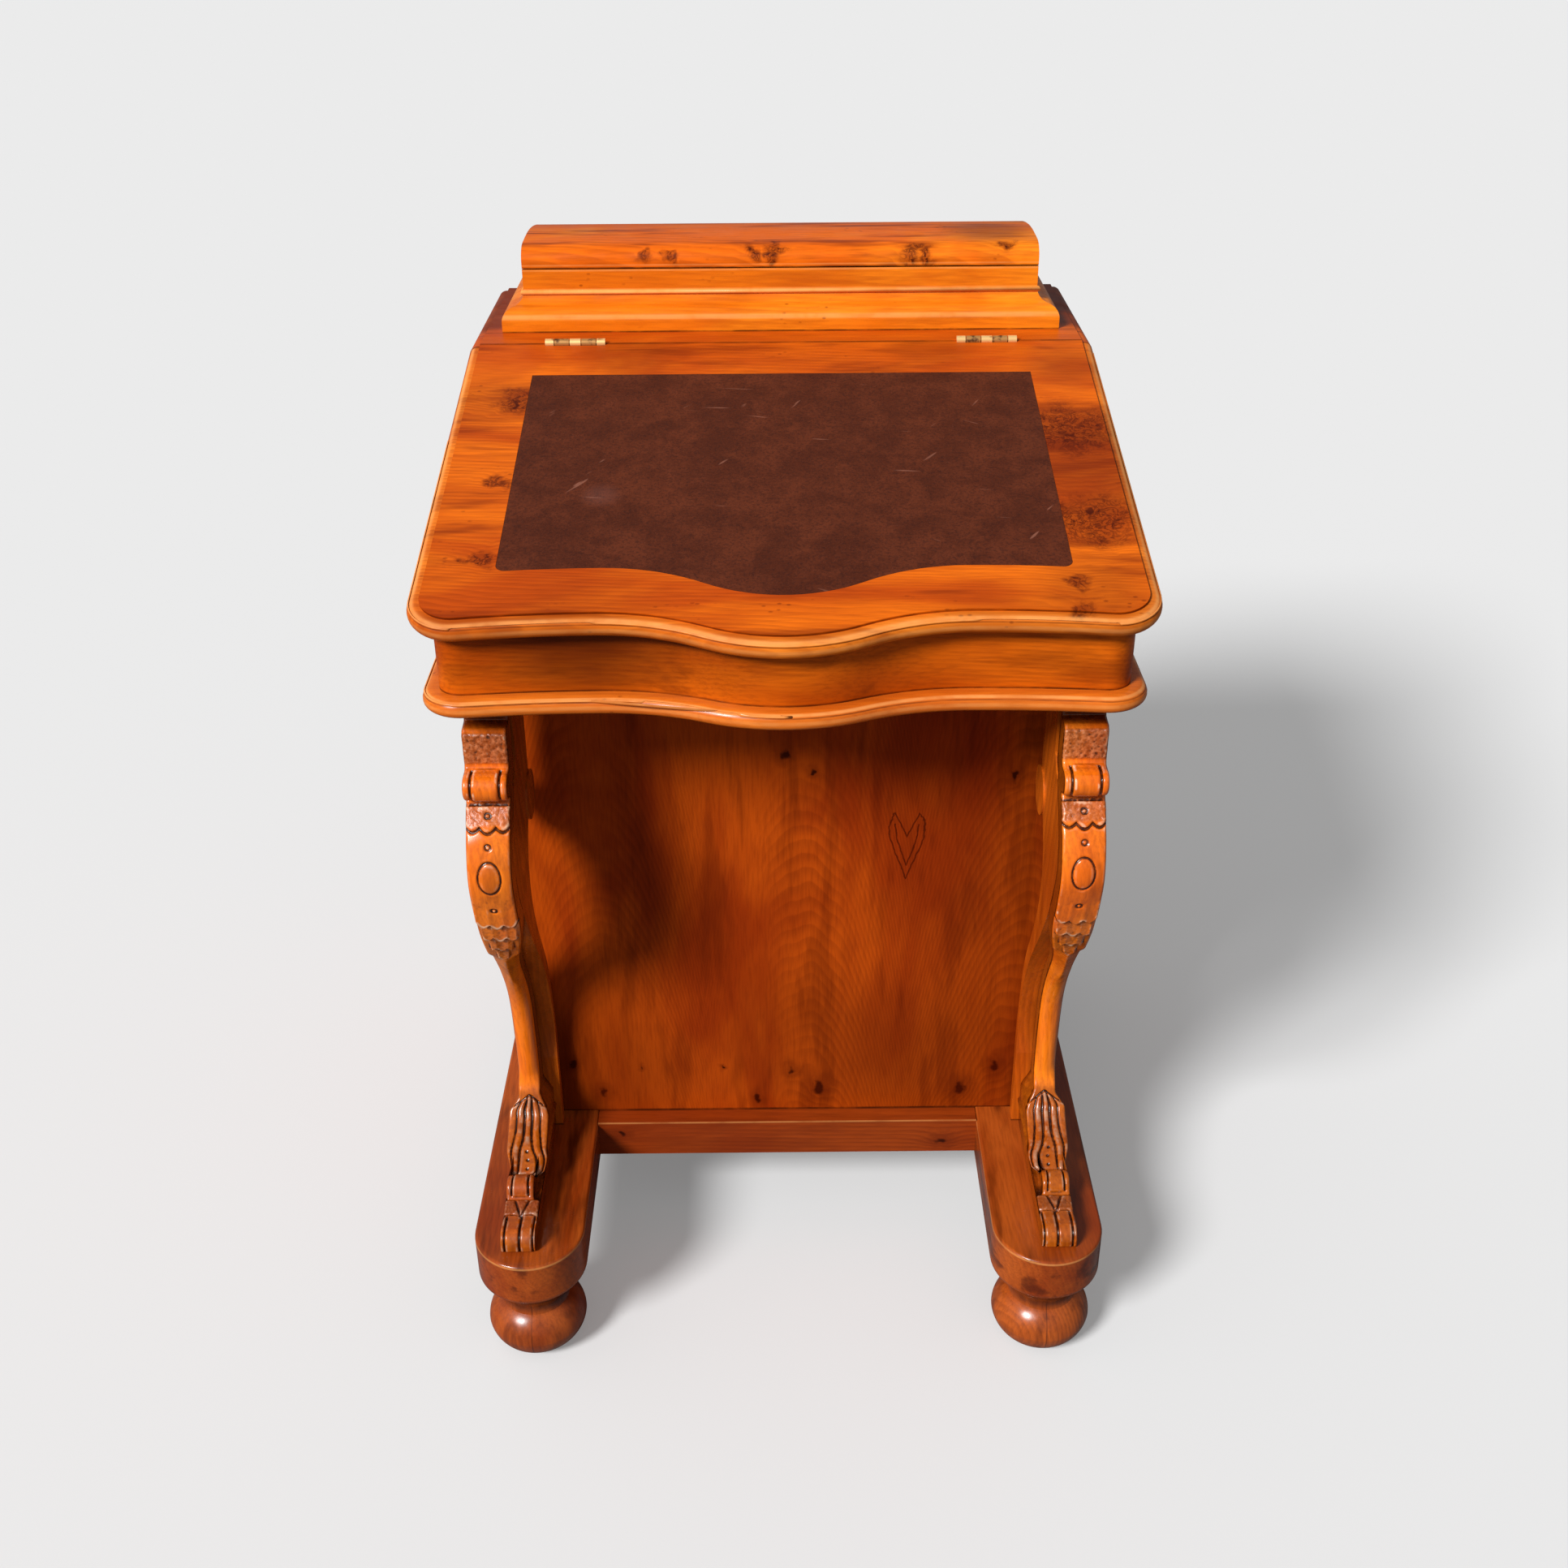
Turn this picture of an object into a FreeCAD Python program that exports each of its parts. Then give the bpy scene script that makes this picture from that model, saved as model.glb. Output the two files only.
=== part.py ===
import FreeCAD, Part
import Sketcher
import math
import os
from types import SimpleNamespace

# A davenport desk: a sloped desk box on a pedestal of four side drawers, with two
# scroll brackets standing on sledge runners.  Millimetres and degrees.  +X is to the
# right of a sitter, +Y to the back, +Z up.  The origin is on the floor, at the middle
# of the desk's width and depth.

SIZES = {
    # overall
    "desk_depth": 637.0,
    "lid_width": 550.0,
    # writing lid and the moulded edge it shares with the flat top
    "lid_reach": 399.0,
    "lid_slope": 12.9,
    "lid_thickness": 18.0,
    "bead_projection": 10.0,
    "bead_step": 2.5,
    "lid_seat_gap": 0.3,
    "joint_gap": 1.0,
    "flat_top_depth": 196.0,
    # serpentine front line, shared by lid, frieze and lower moulding
    "crest_spacing": 270.0,
    "front_bulge": 28.5,
    "centre_radius": 150.0,
    "shoulder_radius": 900.0,
    "corner_radius": 36.0,
    # leather
    "leather_side_margin": 61.5,
    "leather_back_margin": 55.0,
    "leather_crest_reach": 336.0,
    "leather_bulge": 35.0,
    "leather_centre_radius": 120.0,
    "leather_corner_radius": 7.0,
    "leather_thickness": 1.2,
    "leather_clearance": 0.15,
    # desk box
    "box_rear_height": 169.5,
    "box_floor_thickness": 14.0,
    "box_wall": 14.0,
    "box_back_inset": 12.0,
    "frieze_inset": 17.0,
    "moulding_inset": 4.0,
    "frieze_thickness": 25.0,
    "moulding_top_round": 8.0,
    "moulding_bottom_round": 5.5,
    # stationery compartment
    "compartment_setback": 36.0,
    "compartment_back_inset": 8.0,
    "compartment_side_inset": 25.0,
    "compartment_height": 51.0,
    "compartment_wall": 12.0,
    "ogee_projection": 19.0,
    "ogee_plinth": 9.0,
    "ogee_height": 23.0,
    "stationery_lid_edge": 5.0,
    "stationery_lid_crown": 15.0,
    # pedestal
    "pedestal_height": 501.0,
    "pedestal_side_inset": 15.0,
    "pedestal_front_inset": 203.0,
    "pedestal_back_inset": 16.0,
    "front_panel_thickness": 18.0,
    "back_panel_thickness": 12.0,
    "pedestal_floor_thickness": 12.0,
    "side_frame_thickness": 12.0,
    "side_panel_thickness": 12.0,
    "stile_width": 28.0,
    "stile_thickness": 18.0,
    "divider_thickness": 12.0,
    # drawers
    "drawer_front_thickness": 18.0,
    "drawer_front_gap": 1.0,
    "drawer_running_gap": 0.3,
    "drawer_back_gap": 14.0,
    "drawer_side_thickness": 9.0,
    "drawer_side_drop": 6.0,
    "drawer_bottom_thickness": 5.0,
    "drawer_bottom_lift": 6.0,
    "drawer_groove_depth": 4.0,
    "knob_spacing": 180.0,
    "knob_radius": 14.0,
    "knob_length": 24.0,
    "knob_face_round": 15.5,
    "knob_neck_radius": 6.5,
    "knob_collar_radius": 9.0,
    "knob_collar_length": 3.0,
    "knob_peg_radius": 5.0,
    "peg_clearance": 0.1,
    # base
    "foot_height": 79.0,
    "foot_radius": 43.5,
    "foot_contact_radius": 22.0,
    "foot_bun_height": 50.0,
    "foot_bun_round": 30.0,
    "foot_neck_radius": 30.0,
    "foot_collar_radius": 36.0,
    "foot_collar_height": 9.0,
    "foot_peg_radius": 10.0,
    "foot_peg_length": 28.0,
    "rear_foot_inset": 54.0,
    "runner_thickness": 46.0,
    "runner_width": 96.0,
    "runner_back_inset": 10.0,
    "runner_back_corner": 20.0,
    "runner_top_round": 3.0,
    "runner_bottom_round": 7.0,
    "rail_height": 38.0,
    "rail_thickness": 36.0,
    "rail_ledge": 19.0,
    # scroll brackets: reach is measured forward from the front panel, and height and
    # rise up from the runner
    "web_thickness": 31.5,
    "web_top_reach": 34.0,
    "web_knee_reach": 77.0,
    "web_knee_rise": 305.0,
    "web_waist_reach": 10.0,
    "web_waist_rise": 110.0,
    "ear_radius": 21.0,
    "ear_reach": 42.0,
    "ear_height": 375.0,
    "ear_proud": 1.5,
    "scroll_proud": 2.5,
    "scroll_width": 34.0,
    "scroll_waist_width": 23.0,
    "scroll_depth": 22.0,
    "block_reach": 113.0,
    "block_height": 63.0,
    "roll_radius": 13.5,
    "roll_forward": 20.5,
    "roll_width": 36.0,
    "neck_reach": 136.0,
    "neck_drop": 21.0,
    "knee_reach": 162.0,
    "knee_rise": 360.0,
    "taper_rise": 215.0,
    "taper_height": 100.0,
    "waist_reach": 42.0,
    "waist_rise": 81.0,
    "leaf_rise": 58.0,
    "leaf_proud": 9.0,
    "toe_reach": 186.0,
    "toe_height": 19.0,
    "toe_round": 15.0,
    "toe_roll_reach": 125.0,
    "toe_roll_radius": 11.0,
    # butt hinges
    "hinge_spacing": 362.0,
    "stationery_hinge_spacing": 300.0,
    "end_knuckle": 7.5,
    "middle_knuckle": 9.5,
    "fixed_knuckle": 12.5,
    "knuckle_gap": 0.8,
    "knuckle_radius": 3.7,
    "knuckle_clearance": 0.5,
    "knuckle_lift": 0.5,
    "leaf_thickness": 1.3,
    "leaf_gap": 0.6,
    "leaf_width": 14.0,
    "pin_radius": 1.2,
    "pin_clearance": 0.05,
    "screw_head_radius": 2.5,
    "screw_shank_radius": 1.1,
    "screw_length": 8.0,
    "screw_spacing": 30.0,
}

DRAWER_COUNT = 4
# Just under half of the bead's height, so that its middle stays a narrow flat.
BEAD_ROUND_SHARE = 0.49
# Positions closer than this are the same, in millimetres.
TOLERANCE = 1e-3
# How far a cutting tool runs past the faces that it cuts through.
CUT_SPARE = 1.0
LEFT, RIGHT = -1, 1

doc = FreeCAD.newDocument("davenport_desk")


# ---------------------------------------------------------------- sizes with formulas
class Size:
    """A size that knows its number and the sheet formula it comes from."""

    def __init__(self, value, formula):
        self.value = float(value)
        self.formula = formula

    def __float__(self):
        return self.value

    def __add__(self, other):
        return joined(self, "+", other, self.value + float(other))

    def __radd__(self, other):
        return joined(other, "+", self, float(other) + self.value)

    def __sub__(self, other):
        return joined(self, "-", other, self.value - float(other))

    def __rsub__(self, other):
        return joined(other, "-", self, float(other) - self.value)

    def __mul__(self, other):
        return joined(self, "*", other, self.value * float(other))

    def __rmul__(self, other):
        return joined(other, "*", self, float(other) * self.value)

    def __truediv__(self, other):
        return joined(self, "/", other, self.value / float(other))

    def __neg__(self):
        return 0 - self


def formula_of(amount):
    return amount.formula if isinstance(amount, Size) else repr(float(amount))


def joined(first, sign, second, value):
    return Size(value, f"({formula_of(first)} {sign} {formula_of(second)})")


def sine(angle):
    return Size(math.sin(math.radians(float(angle))), f"sin({formula_of(angle)})")


def cosine(angle):
    return Size(math.cos(math.radians(float(angle))), f"cos({formula_of(angle)})")


def tangent(angle):
    return Size(math.tan(math.radians(float(angle))), f"tan({formula_of(angle)})")


def make_sheet():
    """Write the driving sizes to the spreadsheet and return them as Size values."""
    sheet = doc.addObject("Spreadsheet::Sheet", "Sizes")
    for row, (name, value) in enumerate(SIZES.items(), start=1):
        sheet.set(f"A{row}", name)
        sheet.set(f"B{row}", str(value))
        sheet.setAlias(f"B{row}", name)
    doc.recompute()
    return SimpleNamespace(**{name: Size(sheet.get(name), f"Sizes.{name}") for name in SIZES})


s = make_sheet()


# ---------------------------------------------------------------- heights and lines
runner_bottom = s.foot_height
runner_top = runner_bottom + s.runner_thickness
box_bottom_z = runner_top + s.pedestal_height
box_floor_top = box_bottom_z + s.box_floor_thickness
top_z = box_bottom_z + s.box_rear_height
top_underside = top_z - s.lid_thickness

back_y = s.desk_depth / 2
break_y = back_y - s.flat_top_depth
lid_back_y = break_y - s.joint_gap / 2
flat_top_front_y = break_y + s.joint_gap / 2
box_back_y = back_y - s.box_back_inset
runner_tip_y = -s.desk_depth / 2
pedestal_front_y = runner_tip_y + s.pedestal_front_inset
pedestal_back_y = back_y - s.pedestal_back_inset
frame_front_y = pedestal_front_y + s.front_panel_thickness
frame_back_y = pedestal_back_y - s.back_panel_thickness

lid_half = s.lid_width / 2
box_half = lid_half - s.frieze_inset
well_half = box_half - s.box_wall
pedestal_half = box_half - s.pedestal_side_inset
runner_half = lid_half

# The lid's bead, seen from above, is foremost half way down the lid's thickness.
crest_y = break_y - s.lid_reach * cosine(s.lid_slope) + s.lid_thickness / 2 * sine(s.lid_slope)
frieze_back_y = crest_y + s.frieze_inset + s.frieze_thickness

slope_placement = FreeCAD.Placement(
    FreeCAD.Vector(0, break_y, top_z),
    FreeCAD.Rotation(FreeCAD.Vector(1, 0, 0), float(s.lid_slope)),
)
lid_underside_drop = s.lid_thickness / cosine(s.lid_slope) + s.lid_seat_gap


def lid_underside_z(y):
    """Height of the underside of the closed lid, less its seat gap, above a depth y."""
    return top_z - (break_y - y) * tangent(s.lid_slope) - lid_underside_drop


# ---------------------------------------------------------------- general helpers
def bind(obj, **properties):
    """Bind properties to formulas; a double underscore stands for a dot."""
    for name, amount in properties.items():
        obj.setExpression(name.replace("__", "."), formula_of(amount))


def place(obj, x=0, y=0, z=0):
    bind(obj, Placement__Base__x=x, Placement__Base__y=y, Placement__Base__z=z)


def board(name, x, y, z):
    """A plain board between two X, two Y and two Z positions."""
    box = doc.addObject("Part::Box", name)
    bind(box, Length=x[1] - x[0], Width=y[1] - y[0], Height=z[1] - z[0])
    place(box, x[0], y[0], z[0])
    return box


def peg(name, radius, length, x, y, z, direction):
    """A cylinder that starts at a point and runs along a direction."""
    cylinder = doc.addObject("Part::Cylinder", name)
    bind(cylinder, Radius=radius, Height=length)
    cylinder.Placement.Rotation = FreeCAD.Rotation(FreeCAD.Vector(0, 0, 1), direction)
    place(cylinder, x, y, z)
    return cylinder


def group(name, pieces):
    """Several separate solids in one node."""
    compound = doc.addObject("Part::Compound", name)
    compound.Links = pieces
    return compound


def cut(name, base, tools):
    """Base less every tool."""
    result = doc.addObject("Part::Cut", name)
    result.Base = base
    result.Tool = tools[0] if len(tools) == 1 else group(name + "_tools", tools)
    return result


def solid(name, shape, placement=None):
    """A sub-part whose shape is worked out here, from the sheet's sizes."""
    feature = doc.addObject("Part::Feature", name)
    feature.Shape = shape
    if placement is not None:
        feature.Placement = placement
    return feature


def repeat(name, piece, spots):
    """Copies of one piece, moved to a list of (x, y, z) spots, in one node."""
    links = []
    for index, (x, y, z) in enumerate(spots, start=1):
        link = doc.addObject("App::Link", f"{name}_{index}")
        link.LinkedObject = piece
        place(link, x, y, z)
        links.append(link)
    return group(name, links)


def new_body(name):
    return doc.addObject("PartDesign::Body", name)


def arc_centre(start, end, radius, turn):
    """Centre of an arc from start to end; turn is +1 anticlockwise and -1 clockwise."""
    chord = end - start
    rise = math.sqrt(float(radius) ** 2 - (chord.Length / 2) ** 2)
    normal = FreeCAD.Vector(-chord.y, chord.x, 0).normalize()
    return (start + end) * 0.5 + normal * rise * turn


def add_profile(body, role, corners):
    """Draw a closed, fully constrained profile on one of the body's origin planes.

    Each corner is (x, y) where a straight line follows, or (x, y, radius, turn)
    where an arc follows.  Every corner and radius is bound to its formula."""
    sketch = body.newObject("Sketcher::SketchObject", body.Name + "_profile")
    plane = next(p for p in body.Origin.OriginFeatures if p.Role == role)
    sketch.AttachmentSupport = [(plane, "")]
    sketch.MapMode = "FlatFace"
    ends = []
    for index, corner in enumerate(corners):
        following = corners[(index + 1) % len(corners)]
        start = FreeCAD.Vector(float(corner[0]), float(corner[1]), 0)
        end = FreeCAD.Vector(float(following[0]), float(following[1]), 0)
        if len(corner) == 2:
            edge = sketch.addGeometry(Part.LineSegment(start, end))
            ends.append((edge, 1, 2))
            continue
        radius, turn = corner[2], corner[3]
        centre = arc_centre(start, end, radius, turn)
        circle = Part.Circle(centre, FreeCAD.Vector(0, 0, 1), float(radius))
        first, last = (start, end) if turn > 0 else (end, start)
        arc = Part.ArcOfCircle(circle, circle.parameter(first), circle.parameter(last))
        edge = sketch.addGeometry(arc)
        ends.append((edge, 1, 2) if turn > 0 else (edge, 2, 1))
        number = sketch.addConstraint(Sketcher.Constraint("Radius", edge, float(radius)))
        sketch.setExpression(f"Constraints[{number}]", formula_of(radius))
    for index, corner in enumerate(corners):
        edge, start, _ = ends[index]
        before, _, end = ends[index - 1]
        sketch.addConstraint(Sketcher.Constraint("Coincident", before, end, edge, start))
        for kind, axis, amount in (("DistanceX", -2, corner[0]), ("DistanceY", -1, corner[1])):
            if not isinstance(amount, Size) and amount == 0:
                sketch.addConstraint(Sketcher.Constraint("PointOnObject", edge, start, axis))
                continue
            limit = Sketcher.Constraint(kind, -1, 1, edge, start, float(amount))
            number = sketch.addConstraint(limit)
            sketch.setExpression(f"Constraints[{number}]", formula_of(amount))
    return sketch


def pad(body, sketch, length, reverse=False):
    feature = body.newObject("PartDesign::Pad", body.Name + "_pad")
    feature.Profile = sketch
    feature.Reversed = reverse
    bind(feature, Length=length)
    return feature


def revolve(body, sketch, axis):
    feature = body.newObject("PartDesign::Revolution", body.Name + "_turning")
    feature.Profile = sketch
    feature.ReferenceAxis = (sketch, [axis])
    feature.Angle = 360.0
    return feature


def is_level(edge, height):
    """Whether an edge lies flat at a height."""
    box = edge.BoundBox
    return max(abs(box.ZMin - float(height)), abs(box.ZMax - float(height))) < TOLERANCE


def round_edges(body, height, radius):
    """Fillet the edges of the body's last feature that lie flat at a height."""
    doc.recompute()
    base = body.Tip
    edges = enumerate(base.Shape.Edges, start=1)
    names = [f"Edge{number}" for number, edge in edges if is_level(edge, height)]
    feature = body.newObject("PartDesign::Fillet", f"{body.Name}_round_{len(body.Group)}")
    feature.Base = (base, names)
    bind(feature, Radius=radius)
    return feature


def vector(x, y, z=0):
    return FreeCAD.Vector(float(x), float(y), float(z))


def box_between(low, high):
    span = high - low
    return Part.makeBox(span.x, span.y, span.z, low)


def arc_through(start, centre, end):
    """The shorter arc about a centre, between two points at one distance from it."""
    radius = (start - centre).Length
    middle = ((start - centre).normalize() + (end - centre).normalize()).normalize()
    return Part.Arc(start, centre + middle * radius, end).toShape()


def line(start, end):
    return Part.LineSegment(start, end).toShape()


def smooth_curve(points):
    """A smooth curve through points."""
    curve = Part.BSplineCurve()
    curve.interpolate(points)
    return curve.toShape()


# ---------------------------------------------------------------- serpentine outline
def serpentine(half_width, crest, bulge, centre_radius, corner_radius, inset, back):
    """A closed outline with a straight back and a serpentine front, in the XY plane.

    The front swells forward at the middle, draws back to a crest on each side and
    comes forward again to rounded corners.  Every stretch is a tangent arc, so an
    inset keeps the centres and changes the radii."""
    half_width, crest, bulge = float(half_width), float(crest), float(bulge)
    swell, corner, inset = float(centre_radius), float(corner_radius), float(inset)
    shoulder = float(s.shoulder_radius)
    crest_x = float(s.crest_spacing) / 2
    hollow = (crest_x**2 + bulge**2) / (2 * bulge) - swell
    across = half_width - corner - crest_x
    corner_y = crest - shoulder + math.sqrt((shoulder + corner) ** 2 - across**2)

    swell_centre = vector(0, crest - bulge + swell)
    back_right = vector(half_width - inset, back)
    back_left = vector(inset - half_width, back)
    fronts = {}
    for side in (LEFT, RIGHT):
        hollow_centre = vector(side * crest_x, crest - hollow)
        shoulder_centre = vector(side * crest_x, crest - shoulder)
        corner_centre = vector(side * (half_width - corner), corner_y)
        inner = (hollow_centre - swell_centre).normalize()
        outer = (corner_centre - shoulder_centre).normalize()
        swell_end = swell_centre + inner * (swell - inset)
        crest_point = vector(side * crest_x, crest + inset)
        shoulder_end = shoulder_centre + outer * (shoulder + inset)
        corner_end = vector(side * (half_width - inset), corner_y)
        edges = [
            arc_through(swell_end, hollow_centre, crest_point),
            arc_through(crest_point, shoulder_centre, shoulder_end),
            arc_through(shoulder_end, corner_centre, corner_end),
        ]
        fronts[side] = (swell_end, corner_end, edges)
    left_end, left_corner, left_edges = fronts[LEFT]
    right_end, right_corner, right_edges = fronts[RIGHT]
    swell_edge = arc_through(left_end, swell_centre, right_end)
    edges = [swell_edge] + right_edges + [line(right_corner, back_right)]
    edges += [line(back_right, back_left), line(back_left, left_corner)]
    edges += list(reversed(left_edges))
    return Part.Wire(edges), corner_y


def desk_outline(inset, back, crest=crest_y):
    outline = serpentine(
        lid_half, crest, s.front_bulge, s.centre_radius, s.corner_radius, inset, back
    )
    return outline[0]


def slab(outline, low, high):
    """A board with a given outline between two heights."""
    face = Part.Face(outline)
    face.translate(vector(0, 0, low))
    return face.extrude(vector(0, 0, high - low))


def rounded_slab(outline, low, high, top_round, bottom_round):
    """A slab whose top and bottom edges are rounded, but for its straight back."""
    plain = slab(outline, low, high)
    back = plain.BoundBox.YMax
    shape = plain
    for height, radius in ((float(high), top_round), (float(low), bottom_round)):
        edges = []
        for edge in shape.Edges:
            if is_level(edge, height) and edge.BoundBox.YMin < back - TOLERANCE:
                edges.append(edge)
        shape = shape.makeFillet(float(radius), edges)
    return shape


# ---------------------------------------------------------------- hinges
hinge_length = 2 * s.end_knuckle + s.middle_knuckle + 2 * s.fixed_knuckle + 4 * s.knuckle_gap


def knuckle_spans():
    """(start, end, moving) of the five knuckles along the pin, from the hinge's middle."""
    lengths = (s.end_knuckle, s.fixed_knuckle, s.middle_knuckle, s.fixed_knuckle, s.end_knuckle)
    spans = []
    start = -float(hinge_length) / 2
    for index, length in enumerate(lengths):
        spans.append((start, start + float(length), index % 2 == 0))
        start += float(length) + float(s.knuckle_gap)
    return spans


def x_cylinder(radius, start, end):
    return Part.makeCylinder(float(radius), end - start, vector(start, 0, 0), vector(1, 0, 0))


def screw_spots():
    reach = -float(s.leaf_width + s.knuckle_radius) / 2 - float(s.knuckle_clearance)
    return [(side * float(s.screw_spacing) / 2, reach) for side in (LEFT, RIGHT)]


def screw_shape(side, grow):
    """Both countersunk screws of one leaf, head in the leaf, as one compound."""
    inner = float(s.leaf_gap) / 2
    outer = inner + float(s.leaf_thickness)
    screws = []
    for x, z in screw_spots():
        head = Part.makeCone(
            float(s.screw_head_radius) + grow,
            float(s.screw_shank_radius) + grow,
            outer - inner,
            vector(x, side * inner, z),
            vector(0, side, 0),
        )
        shank = Part.makeCylinder(
            float(s.screw_shank_radius) + grow,
            float(s.screw_length) + grow,
            vector(x, side * outer, z),
            vector(0, side, 0),
        )
        screws.append(head.fuse(shank).removeSplitter())
    return Part.makeCompound(screws)


def leaf_shape(side, moving):
    """One leaf with its knuckles.  The pin is the X axis, the leaf hangs below it.

    side is +1 for a leaf on the +Y side of the joint and -1 on the other."""
    half = float(hinge_length) / 2
    inner = side * float(s.leaf_gap) / 2
    outer = inner + side * float(s.leaf_thickness)
    low_y, high_y = min(inner, outer), max(inner, outer)
    shoulder = -float(s.knuckle_radius + s.knuckle_clearance)
    leaf = box_between(vector(-half, low_y, -s.leaf_width), vector(half, high_y, shoulder))
    for start, end, is_moving in knuckle_spans():
        if is_moving == moving:
            tab = box_between(vector(start, low_y, shoulder), vector(end, high_y, 0))
            leaf = leaf.fuse([tab, x_cylinder(s.knuckle_radius, start, end)])
    bore = x_cylinder(s.pin_radius + s.pin_clearance, -half, half)
    return leaf.cut([bore, screw_shape(side, float(s.pin_clearance))]).removeSplitter()


def mortise_shape(side):
    """What a hinge takes out of the board on one side of its joint."""
    half = float(hinge_length) / 2 + float(s.pin_clearance)
    outer = side * float(s.leaf_gap / 2 + s.leaf_thickness)
    low_y, high_y = min(0, outer), max(0, outer)
    bed = box_between(vector(-half, low_y, -s.leaf_width), vector(half, high_y, s.knuckle_radius))
    channel = x_cylinder(s.knuckle_radius + s.knuckle_clearance, -half, half)
    return bed.fuse([channel, screw_shape(side, float(s.pin_clearance))])


def hinge_placements(spacing, y, z, turn):
    rotation = FreeCAD.Rotation(FreeCAD.Vector(1, 0, 0), turn)
    return [
        FreeCAD.Placement(vector(side * spacing / 2, y, z), rotation) for side in (LEFT, RIGHT)
    ]


def placed(shape, placements):
    """Copies of a shape at each placement, as one compound."""
    copies = []
    for placement in placements:
        copy = shape.copy()
        copy.Placement = placement.multiply(copy.Placement)
        copies.append(copy)
    return Part.makeCompound(copies)


# The writing lid's leaves hang in the joint.  The stationery lid's leaves lie forward
# in the joint below it, so that hinge is turned back a quarter turn.
lid_pin_z = top_z + s.knuckle_lift
lid_hinges = hinge_placements(s.hinge_spacing, break_y, lid_pin_z, 0)
compartment_back_y = back_y - s.compartment_back_inset
compartment_top = top_z + s.compartment_height
stationery_pin_y = compartment_back_y + s.knuckle_lift
stationery_pin_z = compartment_top + s.joint_gap / 2
stationery_hinges = hinge_placements(
    s.stationery_hinge_spacing, stationery_pin_y, stationery_pin_z, -90
)


def make_hinges():
    """Leaves, pins and screws of both pairs of hinges."""
    half = float(hinge_length) / 2
    pin = x_cylinder(s.pin_radius, -half, half)
    both = lid_hinges + stationery_hinges
    nodes = [
        solid("lid_hinge_fixed_leaves", placed(leaf_shape(1, False), lid_hinges)),
        solid("lid_hinge_moving_leaves", placed(leaf_shape(-1, True), lid_hinges)),
        solid("stationery_hinge_fixed_leaves", placed(leaf_shape(1, False), stationery_hinges)),
        solid("stationery_hinge_moving_leaves", placed(leaf_shape(-1, True), stationery_hinges)),
        solid("hinge_pins", placed(pin, both)),
        solid("hinge_fixed_screws", placed(screw_shape(1, 0), both)),
        solid("lid_hinge_screws", placed(screw_shape(-1, 0), lid_hinges)),
        solid("stationery_hinge_screws", placed(screw_shape(-1, 0), stationery_hinges)),
    ]
    return nodes


# ---------------------------------------------------------------- desk box
def make_lid():
    """Writing lid with its moulded edge, and the leather let into it."""
    into_lid = slope_placement.inverse()
    spare = s.lid_thickness
    crest = -s.lid_reach
    raised = slab(desk_outline(s.bead_projection, spare, crest), -s.lid_thickness, 0)
    bead_round = (s.lid_thickness - s.bead_step) * BEAD_ROUND_SHARE
    bead = rounded_slab(
        desk_outline(0, spare, crest), -s.lid_thickness, -s.bead_step, bead_round, bead_round
    )
    shape = raised.fuse(bead).removeSplitter()

    leather_half = lid_half - s.leather_side_margin
    outline, _ = serpentine(
        leather_half,
        -s.leather_crest_reach,
        s.leather_bulge,
        s.leather_centre_radius,
        s.leather_corner_radius,
        0,
        -s.leather_back_margin,
    )
    recess, _ = serpentine(
        leather_half + s.leather_clearance,
        -s.leather_crest_reach - s.leather_clearance,
        s.leather_bulge,
        s.leather_centre_radius,
        s.leather_corner_radius,
        0,
        s.leather_clearance - s.leather_back_margin,
    )
    shape = shape.cut(slab(recess, -s.leather_thickness, s.lid_thickness))

    reach = float(s.lid_width)
    behind = box_between(
        vector(-reach, lid_back_y, top_z - reach), vector(reach, lid_back_y + reach, top_z + reach)
    )
    tools = [behind] + placed(mortise_shape(-1), lid_hinges).Solids
    for tool in tools:
        tool.Placement = into_lid.multiply(tool.Placement)
    lid = solid("lid_board", shape.cut(tools).removeSplitter(), slope_placement)

    leather_shape = slab(outline, -s.leather_thickness, 0)
    leather = solid("leather_skiver", leather_shape, slope_placement)
    return [lid, leather]


def make_top_board():
    """Flat rear top: a board with the lid's bead along both ends."""
    inner = lid_half - s.bead_projection
    core = box_between(
        vector(-inner, flat_top_front_y, top_underside), vector(inner, back_y, top_z)
    )
    bead_top = top_z - s.bead_step
    shape = box_between(
        vector(-lid_half, flat_top_front_y, top_underside), vector(lid_half, back_y, bead_top)
    )
    ends = float(lid_half) - TOLERANCE
    end_edges = [edge for edge in shape.Edges if abs(edge.CenterOfMass.x) > ends]
    long_edges = [edge for edge in end_edges if edge.Length > 2 * float(s.lid_thickness)]
    bead_round = (s.lid_thickness - s.bead_step) * BEAD_ROUND_SHARE
    shape = shape.makeFillet(float(bead_round), long_edges).fuse(core).removeSplitter()
    mortises = placed(mortise_shape(1), lid_hinges).Solids
    return [solid("top_board", shape.cut(mortises).removeSplitter())]


def make_box_sides():
    """Side boards of the desk box, their top edges following the lid."""
    nodes = []
    for side, name in ((LEFT, "box_side_left"), (RIGHT, "box_side_right")):
        body = new_body(name)
        corners = [
            (frieze_back_y, box_floor_top),
            (box_back_y, box_floor_top),
            (box_back_y, top_underside),
            (flat_top_front_y, top_underside),
            (flat_top_front_y, lid_underside_z(flat_top_front_y)),
            (frieze_back_y, lid_underside_z(frieze_back_y)),
        ]
        pad(body, add_profile(body, "YZ_Plane", corners), s.box_wall)
        place(body, x=well_half if side == RIGHT else -box_half)
        nodes.append(body)
    return nodes


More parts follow.
